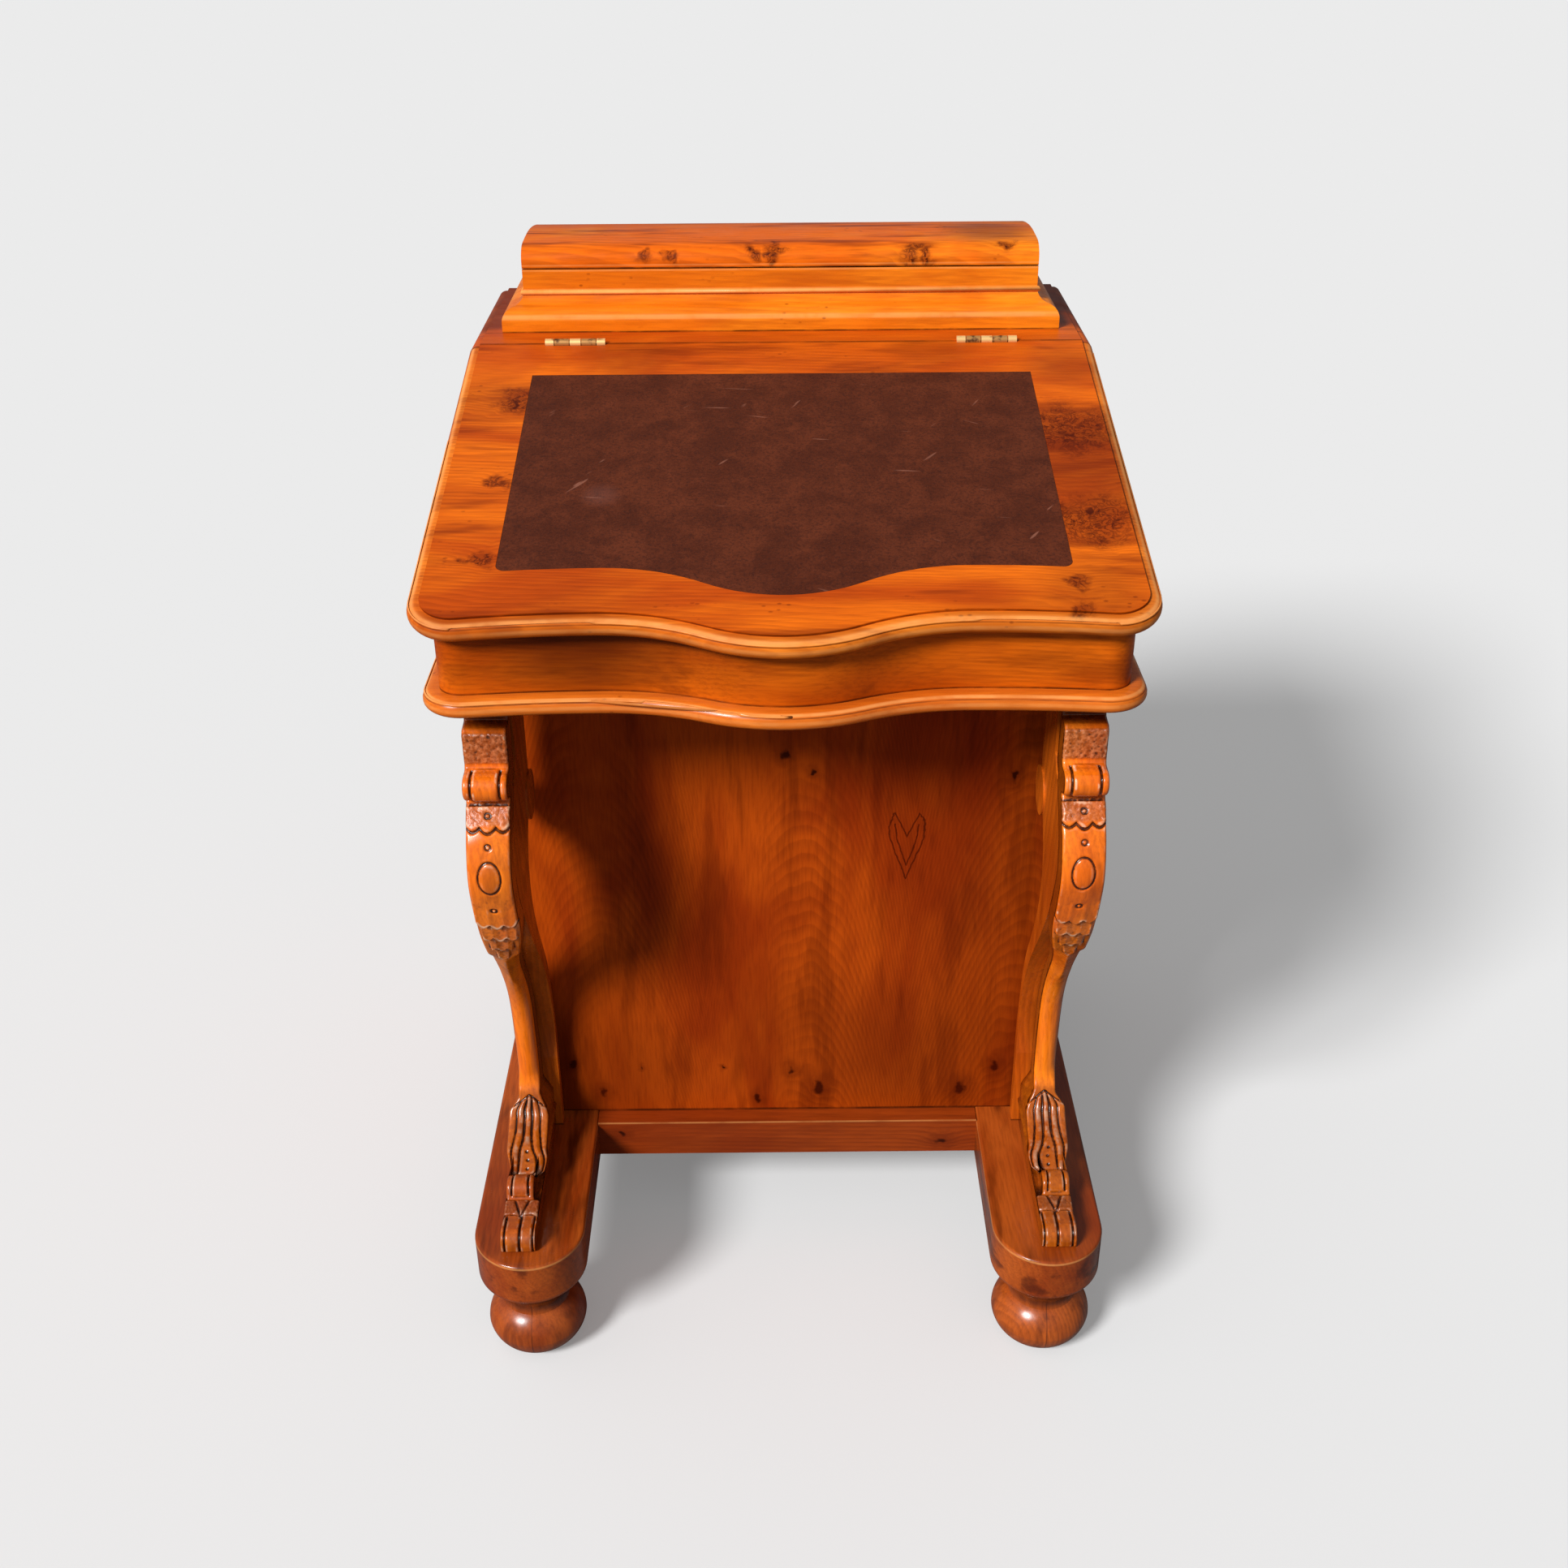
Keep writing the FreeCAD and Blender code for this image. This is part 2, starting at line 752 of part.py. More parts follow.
def make_frieze():
    """Serpentine front of the desk box, sawn from the solid with a flat back."""
    outline = desk_outline(s.frieze_inset, frieze_back_y)
    shape = slab(outline, box_floor_top, top_z)
    reach = float(s.lid_width)
    above = box_between(vector(-reach, -reach, 0), vector(reach, reach, reach))
    drop = FreeCAD.Placement(vector(0, 0, -lid_underside_drop), FreeCAD.Rotation())
    above.Placement = drop.multiply(slope_placement)
    return [solid("frieze", shape.cut(above))]


def make_lower_moulding():
    """Moulding round the box floor: a serpentine front strip and two side strips."""
    blank = rounded_slab(
        desk_outline(s.moulding_inset, box_back_y),
        box_bottom_z,
        box_floor_top,
        s.moulding_top_round,
        s.moulding_bottom_round,
    )
    floor_outline = desk_outline(s.frieze_inset, box_back_y + s.box_wall)
    ring = blank.cut(slab(floor_outline, box_bottom_z - CUT_SPARE, box_floor_top + CUT_SPARE))
    reach = float(s.lid_width)
    _, corner_y = serpentine(
        lid_half, crest_y, s.front_bulge, s.centre_radius, s.corner_radius, 0, back_y
    )
    front_zone = box_between(vector(-reach, -reach, 0), vector(reach, corner_y, top_z))
    strips = ring.common(front_zone).Solids + ring.cut(front_zone).Solids
    return [solid("lower_moulding", Part.makeCompound(strips))]


def make_box_boards():
    """Floor and back of the desk box."""
    floor_shape = slab(desk_outline(s.frieze_inset, box_back_y), box_bottom_z, box_floor_top)
    back_span_y = (box_back_y - s.box_wall, box_back_y)
    back = board("box_back", (-well_half, well_half), back_span_y, (box_floor_top, top_underside))
    return [solid("box_floor", floor_shape), back]


# ---------------------------------------------------------------- stationery compartment
compartment_front_y = break_y + s.compartment_setback
compartment_half = lid_half - s.compartment_side_inset
upper_half = compartment_half - s.ogee_projection
upper_front_y = compartment_front_y + s.ogee_projection


def ogee_edges(face, side):
    """Ogee from the foot to the top of one face; across is the horizontal axis.

    face is where the upper part of the face stands and side the way it looks."""
    foot = float(s.ogee_projection)
    plinth = float(s.ogee_plinth)
    rise = float(s.ogee_height) / 2
    radius = ((foot / 2) ** 2 + rise**2) / foot
    top = float(s.compartment_height)

    def spot(out, height):
        return vector(float(face) + side * out, height)

    belly = spot(foot / 2, plinth + rise)
    ogee_top = spot(0, plinth + 2 * rise)
    return [
        line(spot(foot, 0), spot(foot, plinth)),
        arc_through(spot(foot, plinth), spot(foot - radius, plinth), belly),
        arc_through(belly, spot(radius, plinth + 2 * rise), ogee_top),
        line(ogee_top, spot(0, top)),
    ]


def upright_prism(edges, start, end, along_x):
    """Extrude a profile drawn as (across, height) along X or along Y."""
    face = Part.Face(Part.Wire(Part.__sortEdges__(edges)))
    if along_x:
        turn = FreeCAD.Rotation(vector(0, 1, 0), vector(0, 0, 1), vector(1, 0, 0), "XYZ")
        face.Placement = FreeCAD.Placement(vector(start, 0, top_z), turn)
        return face.extrude(vector(end - start, 0, 0))
    turn = FreeCAD.Rotation(vector(1, 0, 0), vector(0, 0, 1), vector(0, -1, 0), "XYZ")
    face.Placement = FreeCAD.Placement(vector(0, start, top_z), turn)
    return face.extrude(vector(0, end - start, 0))


def make_compartment():
    """Front, two sides and back of the stationery compartment, mitred at the front."""
    top = float(s.compartment_height)
    foot = float(s.ogee_projection)
    right = ogee_edges(upper_half, RIGHT)
    left = ogee_edges(-upper_half, LEFT)
    across = right + left
    across.append(line(vector(-upper_half, top), vector(upper_half, top)))
    across.append(line(vector(-compartment_half, 0), vector(compartment_half, 0)))
    lengthwise = upright_prism(across, compartment_front_y, compartment_back_y, False)

    front = ogee_edges(upper_front_y, -1)
    front.append(line(vector(upper_front_y, top), vector(compartment_back_y, top)))
    front.append(line(vector(compartment_back_y, top), vector(compartment_back_y, 0)))
    front.append(line(vector(compartment_back_y, 0), vector(upper_front_y - foot, 0)))
    crosswise = upright_prism(front, -compartment_half, compartment_half, True)

    inner_half = upper_half - s.compartment_wall
    inner_front = upper_front_y + s.compartment_wall
    cavity = box_between(
        vector(-inner_half, inner_front, top_z), vector(inner_half, back_y, compartment_top)
    )
    shell = lengthwise.common(crosswise).cut(cavity).removeSplitter()

    corners = [
        vector(-compartment_half, compartment_front_y),
        vector(compartment_half, compartment_front_y),
        vector(inner_half, inner_front),
        vector(-inner_half, inner_front),
    ]
    front_zone = slab(Part.makePolygon(corners + corners[:1]), top_z, compartment_top)
    sides = sorted(shell.cut(front_zone).Solids, key=lambda piece: piece.CenterOfMass.x)
    back = box_between(
        vector(-inner_half, compartment_back_y - s.leaf_width, top_z),
        vector(inner_half, compartment_back_y, compartment_top),
    )
    mortises = placed(mortise_shape(1), stationery_hinges).Solids
    return [
        solid("stationery_front", shell.common(front_zone)),
        solid("stationery_side_left", sides[0]),
        solid("stationery_side_right", sides[1]),
        solid("stationery_back", back.cut(mortises).removeSplitter()),
    ]


# the lid's section from its front edge to its back, in shares of depth and of crown
LID_DOME = (
    (0.0, 0.0), (0.015, 0.43), (0.064, 0.79), (0.165, 0.94), (0.38, 1.0), (0.70, 0.80), (1.0, 0.33)
)


def make_stationery_lid():
    """Domed lid: an upright edge and a crown that is full at the front and falls backward."""
    low = compartment_top + s.joint_gap - top_z
    spring = float(low + s.stationery_lid_edge)
    front = float(upper_front_y)
    back = float(compartment_back_y)
    rise = float(s.stationery_lid_crown)
    section = [
        vector(front + (back - front) * share, spring + rise * part) for share, part in LID_DOME
    ]
    edges = [
        smooth_curve(section),
        line(vector(front, spring), vector(front, low)),
        line(vector(front, low), vector(back, low)),
        line(vector(back, low), section[-1]),
    ]
    shape = upright_prism(edges, -upper_half, upper_half, True)
    mortises = placed(mortise_shape(-1), stationery_hinges).Solids
    return [solid("stationery_lid", shape.cut(mortises).removeSplitter())]


# ---------------------------------------------------------------- pedestal
left_panel_outer = pedestal_half - s.side_frame_thickness
left_panel_inner = left_panel_outer - s.side_panel_thickness
stile_inner = pedestal_half - s.stile_thickness
opening_front_y = frame_front_y + s.stile_width
opening_back_y = frame_back_y - s.stile_width
floor_top = runner_top + s.pedestal_floor_thickness
opening_height = (
    box_bottom_z - floor_top - s.divider_thickness * (DRAWER_COUNT - 1)
) / DRAWER_COUNT


def opening_low(index):
    """Height of the underside of a drawer opening; 0 is the lowest."""
    return floor_top + (opening_height + s.divider_thickness) * index


def make_pedestal():
    """Panels, floor, stiles, dividers and guides that carry the drawers."""
    full_z = (runner_top, box_bottom_z)
    width = (-pedestal_half, pedestal_half)
    inside_y = (frame_front_y, frame_back_y)
    front = board("front_panel", width, (pedestal_front_y, frame_front_y), full_z)
    back = board("back_panel", width, (frame_back_y, pedestal_back_y), full_z)
    floor = board("pedestal_floor", (-left_panel_inner, pedestal_half), inside_y,
                  (runner_top, floor_top))
    panel = board("left_panel", (-left_panel_outer, -left_panel_inner), inside_y, full_z)
    return [front, back, floor, panel, make_left_frame(), make_stiles(), make_dividers(),
            make_guides()]


def make_left_frame():
    """Frame on the left, with one opening for each dummy drawer front."""
    x = (-pedestal_half, -left_panel_outer)
    blank = board("left_frame_blank", x, (frame_front_y, frame_back_y), (runner_top, box_bottom_z))
    windows = []
    for index in range(DRAWER_COUNT):
        z = (opening_low(index), opening_low(index) + opening_height)
        windows.append(board(f"left_window_{index + 1}", x, (opening_front_y, opening_back_y), z))
    return cut("left_frame", blank, windows)


def make_stiles():
    """Upright stiles at the two ends of the drawer openings."""
    x = (stile_inner, pedestal_half)
    z = (floor_top, box_bottom_z)
    front = board("stile_front", x, (frame_front_y, opening_front_y), z)
    back = board("stile_back", x, (opening_back_y, frame_back_y), z)
    return group("right_stiles", [front, back])


def make_dividers():
    """Boards between the drawers, their front edges let in between the stiles."""
    dividers = []
    for index in range(1, DRAWER_COUNT):
        z = (opening_low(index) - s.divider_thickness, opening_low(index))
        inner = board(f"dustboard_{index}", (-left_panel_inner, stile_inner),
                      (frame_front_y, frame_back_y), z)
        edge = board(f"dustboard_edge_{index}", (stile_inner, pedestal_half),
                     (opening_front_y, opening_back_y), z)
        divider = doc.addObject("Part::Fuse", f"divider_{index}")
        divider.Base = inner
        divider.Tool = edge
        divider.Refine = True
        dividers.append(divider)
    return group("drawer_dividers", dividers)


def make_guides():
    """Strips that keep each drawer straight, beside it on the board below."""
    guides = []
    x = (-left_panel_inner, stile_inner)
    for index in range(DRAWER_COUNT):
        z = (opening_low(index), opening_low(index) + s.stile_thickness)
        spans = ((frame_front_y, opening_front_y), (opening_back_y, frame_back_y))
        for end, y in zip(("front", "back"), spans):
            guides.append(board(f"guide_{end}_{index + 1}", x, y, z))
    return group("drawer_guides", guides)


# ---------------------------------------------------------------- drawers and knobs
opening_middle_y = (opening_front_y + opening_back_y) / 2


def make_knob(name, peg_length):
    """A turned knob that looks along +X from the origin, with its peg behind."""
    body = new_body(name)
    head_start = s.knob_collar_length + s.knob_neck_radius
    head_height = s.knob_length - head_start
    corners = [
        (-peg_length, 0),
        (-peg_length, s.knob_peg_radius),
        (0, s.knob_peg_radius),
        (0, s.knob_collar_radius),
        (s.knob_collar_length, s.knob_collar_radius),
        (s.knob_collar_length, s.knob_neck_radius),
        (head_start, s.knob_neck_radius),
        (head_start + head_height / 2, s.knob_radius, s.knob_face_round, -1),
        (s.knob_length, 0),
    ]
    sketch = add_profile(body, "XZ_Plane", corners)
    revolve(body, sketch, "H_Axis")
    return body


def knob_spots(index, x):
    z = opening_low(index) + opening_height / 2
    half = s.knob_spacing / 2
    return [(x, opening_middle_y - half, z), (x, opening_middle_y + half, z)]


def peg_holes(name, spots, depth, direction):
    radius = s.knob_peg_radius + s.peg_clearance
    holes = []
    for number, (x, y, z) in enumerate(spots, start=1):
        holes.append(peg(f"{name}_hole_{number}", radius, depth, x, y, z, direction))
    return holes


def make_drawer(index, knob):
    """One side drawer: front, sides with back, bottom and two knobs."""
    name = f"drawer_{index + 1}"
    gap = s.drawer_front_gap
    low = opening_low(index)
    high = low + opening_height
    back_face = pedestal_half - s.drawer_front_thickness
    inner_x = s.drawer_back_gap - left_panel_inner
    front_y = opening_front_y + gap
    far_y = opening_back_y - gap

    spots = knob_spots(index, pedestal_half)
    blank = board(name + "_front_blank", (back_face, pedestal_half), (front_y, far_y),
                  (low + s.drawer_running_gap, high - gap))
    inward = FreeCAD.Vector(-1, 0, 0)
    holes = peg_holes(name, spots, s.drawer_front_thickness, inward)

    side_low = low + s.drawer_running_gap
    side_high = high - s.drawer_side_drop
    groove_low = side_low + s.drawer_bottom_lift
    groove_z = (groove_low, groove_low + s.drawer_bottom_thickness)
    first_in = front_y + s.drawer_side_thickness
    second_in = far_y - s.drawer_side_thickness
    bottom_y = (first_in - s.drawer_groove_depth, second_in + s.drawer_groove_depth)
    bottom_x = (inner_x, back_face + s.drawer_groove_depth)

    front_groove = board(name + "_front_groove", (back_face, bottom_x[1]), bottom_y, groove_z)
    front = cut(name + "_front", blank, holes + [front_groove])

    sides = []
    for end, outer, inner, reach in (
        ("near", front_y, first_in, bottom_y[0]),
        ("far", far_y, second_in, bottom_y[1]),
    ):
        span = (outer, inner) if float(outer) < float(inner) else (inner, outer)
        slot = (reach, inner) if float(reach) < float(inner) else (inner, reach)
        side_blank = board(f"{name}_{end}_blank", (inner_x, back_face), span,
                           (side_low, side_high))
        groove = board(f"{name}_{end}_groove", (inner_x, back_face), slot, groove_z)
        sides.append(cut(f"{name}_{end}_side", side_blank, [groove]))
    back = board(name + "_back", (inner_x, inner_x + s.drawer_side_thickness),
                 (first_in, second_in), (groove_z[1], side_high))
    carcass = group(name + "_sides", sides + [back])
    bottom = board(name + "_bottom", bottom_x, bottom_y, groove_z)
    knobs = repeat(name + "_knobs", knob, spots)
    return [front, carcass, bottom, knobs]


def make_dummies(knob):
    """Dummy drawer fronts on the left, and their knobs."""
    fronts = []
    spots = []
    outward = FreeCAD.Vector(1, 0, 0)
    gap = s.drawer_front_gap
    for index in range(DRAWER_COUNT):
        low = opening_low(index)
        blank = board(f"dummy_blank_{index + 1}", (-pedestal_half, -left_panel_outer),
                      (opening_front_y + gap, opening_back_y - gap),
                      (low + gap, low + opening_height - gap))
        here = knob_spots(index, -pedestal_half)
        holes = peg_holes(f"dummy_{index + 1}", here, s.side_frame_thickness, outward)
        fronts.append(cut(f"dummy_front_{index + 1}", blank, holes))
        spots += here
    knobs = repeat("dummy_knobs", knob, spots)
    for link in knobs.Links:
        link.Placement.Rotation = FreeCAD.Rotation(FreeCAD.Vector(0, 0, 1), 180)
    return [group("dummy_fronts", fronts), knobs]


# ---------------------------------------------------------------- base
runner_inner = runner_half - s.runner_width
runner_middle = runner_half - s.runner_width / 2
runner_back_y = back_y - s.runner_back_inset
front_foot_y = runner_tip_y + s.runner_width / 2
rear_foot_y = back_y - s.rear_foot_inset


def make_foot(name, side, y):
    """Turned bun foot: bun, neck and collar, with a peg that goes up into the runner."""
    body = new_body(name)
    collar_low = s.foot_height - s.foot_collar_height
    bun_middle = s.foot_bun_height / 2
    corners = [
        (0, 0),
        (s.foot_contact_radius, 0, s.foot_bun_round, 1),
        (s.foot_radius, bun_middle, s.foot_bun_round, 1),
        (s.foot_neck_radius, s.foot_bun_height, collar_low - s.foot_bun_height, -1),
        (s.foot_collar_radius, collar_low),
        (s.foot_collar_radius, s.foot_height),
        (s.foot_peg_radius, s.foot_height),
        (s.foot_peg_radius, s.foot_height + s.foot_peg_length),
        (0, s.foot_height + s.foot_peg_length),
    ]
    sketch = add_profile(body, "XZ_Plane", corners)
    revolve(body, sketch, "V_Axis")
    place(body, x=side * runner_middle, y=y)
    return body


def make_runner(name, side):
    """Sledge runner: round at the front, square with rounded corners at the back."""
    body = new_body(name + "_blank")
    half = s.runner_width / 2
    corner = s.runner_back_corner
    straight = runner_back_y - corner
    corners = [
        (-half, front_foot_y, half, 1),
        (0, front_foot_y - half, half, 1),
        (half, front_foot_y),
        (half, straight, corner, 1),
        (half - corner, runner_back_y),
        (corner - half, runner_back_y, corner, 1),
        (-half, straight),
    ]
    pad(body, add_profile(body, "XY_Plane", corners), s.runner_thickness)
    round_edges(body, s.runner_thickness, s.runner_top_round)
    round_edges(body, 0, s.runner_bottom_round)
    place(body, x=side * runner_middle, z=runner_bottom)
    up = FreeCAD.Vector(0, 0, 1)
    holes = []
    for end, y in (("front", front_foot_y), ("rear", rear_foot_y)):
        holes.append(
            peg(f"{name}_{end}_socket", s.foot_peg_radius + s.peg_clearance,
                s.foot_peg_length + s.peg_clearance, side * runner_middle, y, runner_bottom, up)
        )
    return cut(name, body, holes)


def make_base():
    """Feet, runners and the two rails between the runners."""
    nodes = []
    for side, word in ((LEFT, "left"), (RIGHT, "right")):
        nodes.append(make_foot(f"foot_front_{word}", side, front_foot_y))
        nodes.append(make_foot(f"foot_rear_{word}", side, rear_foot_y))
        nodes.append(make_runner(f"runner_{word}", side))
    clear_span = (-runner_inner, runner_inner)
    z = (runner_top - s.rail_height, runner_top)
    front_y = pedestal_front_y - s.rail_ledge
    nodes.append(board("base_rail_front", clear_span, (front_y, front_y + s.rail_thickness), z))
    rear_y = pedestal_back_y - s.rail_thickness
    nodes.append(board("base_rail_rear", clear_span, (rear_y, pedestal_back_y), z))
    return nodes


# ---------------------------------------------------------------- scroll brackets
# Points that the long S passes through, as shares of the way in reach and in height
# from the waist up to the knee, and from the knee up to the neck.
WAIST_TO_KNEE = ((0.07, 0.29), (0.28, 0.47), (0.61, 0.66), (0.82, 0.80))
KNEE_TO_NECK = (0.3, 0.58)
# The same up the web's free rear edge: waist to knee, and knee to where it runs straight.
WEB_WAIST_TO_KNEE = ((0.1, 0.2), (0.25, 0.41), (0.52, 0.59), (0.82, 0.78))
WEB_KNEE_TO_TOP = ((0.09, 0.15), (0.4, 0.27), (0.77, 0.37), (0.95, 0.485))
# The same from the roll on the toe back up to the leaf's top.
TOE_TO_LEAF = (0.66, 0.4)
# The roll sits lower than the block's underside by this share of its radius.
ROLL_TUCK = 0.8


def share_between(low, high, shares):
    """A point between two (reach, height) points, by shares of reach and height."""
    return tuple(a + (b - a) * share for a, b, share in zip(low, high, shares))


def bracket_spot(spot):
    """A (reach, height) point in the bracket's own upright plane."""
    reach, height = spot
    return vector(0, float(pedestal_front_y) - reach, float(runner_top) + height)


def smooth_edge(spots):
    """A smooth curve through a list of (reach, height) points."""
    return smooth_curve([bracket_spot(spot) for spot in spots])


def closed_face(items):
    """A face from corners, joined by lines, and ready-made edges, in order."""
    edges = []
    first = last = None
    for item in items:
        is_corner = isinstance(item, FreeCAD.Vector)
        start = item if is_corner else item.firstVertex(True).Point
        if last is not None and (start - last).Length > TOLERANCE:
            edges.append(line(last, start))
        if not is_corner:
            edges.append(item)
        last = item if is_corner else item.lastVertex(True).Point
        first = start if first is None else first
    edges.append(line(last, first))
    return Part.Face(Part.Wire(edges))


def leg_spots(setback):
    """The front of the leg from the waist up to the neck, set back by a distance."""
    waist = (float(s.waist_reach), float(s.waist_rise))
    knee = (float(s.knee_reach), float(s.knee_rise))
    neck = (float(s.neck_reach), float(s.pedestal_height - s.block_height - s.neck_drop))
    spots = [waist]
    spots += [share_between(waist, knee, shares) for shares in WAIST_TO_KNEE]
    spots += [knee, share_between(knee, neck, KNEE_TO_NECK), neck]
    return [(reach - setback, height) for reach, height in spots]


def leg_front():
    """Corners and edges of the leg's front, from the toe's tip up to the top."""
    toe = float(s.toe_reach)
    toe_top = float(s.toe_height)
    rounding = float(s.toe_round)
    tip = bracket_spot((toe, toe_top - rounding))
    tip_centre = bracket_spot((toe - rounding, toe_top - rounding))
    tip_top = bracket_spot((toe - rounding, toe_top))
    toe_roll = (float(s.toe_roll_reach), toe_top)
    leaf_top = (float(s.waist_reach + s.leaf_proud), float(s.leaf_rise))
    block = float(s.block_reach)
    top = float(s.pedestal_height)
    shoulder = top - float(s.block_height)
    tuck = shoulder + float(s.roll_radius) * ROLL_TUCK
    return [
        bracket_spot((toe, 0)),
        arc_through(tip, tip_centre, tip_top),
        smooth_edge([toe_roll, share_between(toe_roll, leaf_top, TOE_TO_LEAF), leaf_top]),
        bracket_spot((float(s.waist_reach), float(s.leaf_rise))),
        smooth_edge(leg_spots(0)),
        bracket_spot((block + float(s.roll_forward), shoulder)),
        bracket_spot((block, tuck)),
        bracket_spot((block, top)),
    ]


def leg_back():
    """Corners and edges of the leg's back, from the runner up to the top."""
    depth = float(s.scroll_depth)
    behind = float(s.block_reach) - depth
    top = float(s.pedestal_height)
    return [
        bracket_spot((float(s.waist_reach) - depth, 0)),
        smooth_edge(leg_spots(depth)),
        bracket_spot((behind, top - float(s.block_height))),
        bracket_spot((behind, top)),
    ]


def web_rear():
    """Corners and edges of the web's rear, from the top down to the runner."""
    top = (float(s.web_top_reach), float(s.pedestal_height))
    knee = (float(s.web_knee_reach), float(s.web_knee_rise))
    waist = (float(s.web_waist_reach), float(s.web_waist_rise))
    spots = [waist]
    spots += [share_between(waist, knee, shares) for shares in WEB_WAIST_TO_KNEE]
    spots += [knee]
    spots += [share_between(knee, top, shares) for shares in WEB_KNEE_TO_TOP]
    return [bracket_spot(top), smooth_edge(spots[::-1]), bracket_spot((waist[0], 0))]


def turned_round(items):
    """The same corners and edges, the other way along."""
    flipped = []
    for item in reversed(items):
        if not isinstance(item, FreeCAD.Vector):
            item = item.copy()
            item.reverse()
        flipped.append(item)
    return flipped


def across(shape, outer, width, side):
    """Thicken a face of the bracket's plane inward from an outer X position."""
    body = shape.extrude(vector(-side * width, 0, 0))
    body.translate(vector(side * float(outer), 0, 0))
    return body


def x_roll(spot, radius, outer, width, side):
    """A cylinder across the bracket, inward from an outer X position."""
    start = bracket_spot(spot) + vector(side * float(outer), 0, 0)
    return Part.makeCylinder(float(radius), float(width), start, vector(-side, 0, 0))


def make_bracket(side, word):
    """The web, which stands clear of the front panel, and the scroll leg that fronts it."""
    web = across(closed_face(leg_back() + web_rear()), pedestal_half, s.web_thickness, side)
    ear_spot = (float(s.ear_reach), float(s.ear_height))
    ear_width = s.web_thickness + s.ear_proud
    web = web.fuse(x_roll(ear_spot, s.ear_radius, pedestal_half, ear_width, side))

    leg_outer = pedestal_half + s.scroll_proud
    leg = across(closed_face(leg_front() + turned_round(leg_back())), leg_outer,
                 s.scroll_width, side)
    leg = leg.common(scroll_front_view(side, float(leg_outer)))
    roll_outer = leg_outer + (s.roll_width - s.scroll_width) / 2
    roll_spot = (float(s.block_reach + s.roll_forward), float(s.pedestal_height - s.block_height))
    toe_spot = (float(s.toe_roll_reach), float(s.toe_height))
    rolls = [
        x_roll(roll_spot, s.roll_radius, roll_outer, s.roll_width, side),
        x_roll(toe_spot, s.toe_roll_radius, leg_outer, s.scroll_width, side),
    ]
    leg = leg.fuse(rolls).removeSplitter()
    return [solid(f"bracket_web_{word}", web.removeSplitter()), solid(f"scroll_leg_{word}", leg)]


def scroll_front_view(side, outer):
    """The leg seen from the front: narrow at the waist, full at the knee and the toe."""
    full = outer - float(s.scroll_width)
    narrow = outer - float(s.scroll_waist_width)
    low = float(runner_top)
    high = float(box_bottom_z)
    leaf_z = low + float(s.leaf_rise)
    taper_low = low + float(s.taper_rise)
    taper_high = taper_low + float(s.taper_height)
    taper_middle = (taper_low + taper_high) / 2
    taper = Part.BezierCurve()
    taper.setPoles(
        [
            vector(side * narrow, 0, taper_low),
            vector(side * narrow, 0, taper_middle),
            vector(side * full, 0, taper_middle),
            vector(side * full, 0, taper_high),
        ]
    )
    face = closed_face(
        [
            vector(side * full, 0, low),
            vector(side * full, 0, leaf_z),
            vector(side * narrow, 0, leaf_z),
            taper.toShape(),
            vector(side * full, 0, high),
            vector(side * outer, 0, high),
            vector(side * outer, 0, low),
        ]
    )
    prism = face.extrude(vector(0, s.desk_depth, 0))
    prism.translate(vector(0, -s.desk_depth, 0))
    return prism


# ---------------------------------------------------------------- assembly and files
def make_desk():
    nodes = make_base()
    for side, word in ((LEFT, "left"), (RIGHT, "right")):
        nodes += make_bracket(side, word)
    nodes += make_pedestal()
    nodes += make_dummies(make_knob("dummy_knob", s.side_frame_thickness))
    drawer_knob = make_knob("drawer_knob", s.drawer_front_thickness)
    for index in range(DRAWER_COUNT):
        nodes += make_drawer(index, drawer_knob)
    nodes += make_box_boards() + make_box_sides() + make_frieze() + make_lower_moulding()
    nodes += make_top_board() + make_lid()
    nodes += make_compartment() + make_stationery_lid() + make_hinges()
    return nodes


def check(nodes):
    """Stop if any object failed or any sub-part is not a sound shape."""
    for obj in doc.Objects:
        if "Invalid" in obj.State or "Error" in obj.State:
            raise RuntimeError(f"{obj.Name} failed: {obj.State}")
    for node in nodes:
        if node.Shape.isNull() or not node.Shape.isValid() or not node.Shape.Solids:
            raise RuntimeError(f"{node.Name} has no sound shape")


def write(nodes):
    os.makedirs("parts", exist_ok=True)
    for node in nodes:
        node.Label = node.Name
        node.Shape.exportStep(f"parts/{node.Label}.step")


desk = make_desk()
doc.recompute()
check(desk)
write(desk)
print(len(desk), "nodes")
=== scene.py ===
"""Looks of a yew davenport desk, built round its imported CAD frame.  Metres, Z up.

Sizes that are easier to read in millimetres are multiplied by MM.
"""

import math

import bmesh
import bpy
import numpy as np
from mathutils import Matrix, Vector


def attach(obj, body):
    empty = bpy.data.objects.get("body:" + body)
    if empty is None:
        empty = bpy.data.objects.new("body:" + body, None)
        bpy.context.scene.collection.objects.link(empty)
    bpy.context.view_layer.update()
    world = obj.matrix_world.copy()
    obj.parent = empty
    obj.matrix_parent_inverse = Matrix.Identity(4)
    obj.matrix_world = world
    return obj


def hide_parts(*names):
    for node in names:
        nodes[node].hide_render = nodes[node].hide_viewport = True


MM = 0.001
SEED = 7

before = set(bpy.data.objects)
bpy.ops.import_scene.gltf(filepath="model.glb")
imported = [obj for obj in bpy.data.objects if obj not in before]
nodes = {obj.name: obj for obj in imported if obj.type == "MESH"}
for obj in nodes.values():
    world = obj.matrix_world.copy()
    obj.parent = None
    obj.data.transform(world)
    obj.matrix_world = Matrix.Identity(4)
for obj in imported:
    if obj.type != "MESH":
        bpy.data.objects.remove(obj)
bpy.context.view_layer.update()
scene = bpy.context.scene
noise_source = np.random.default_rng(SEED)


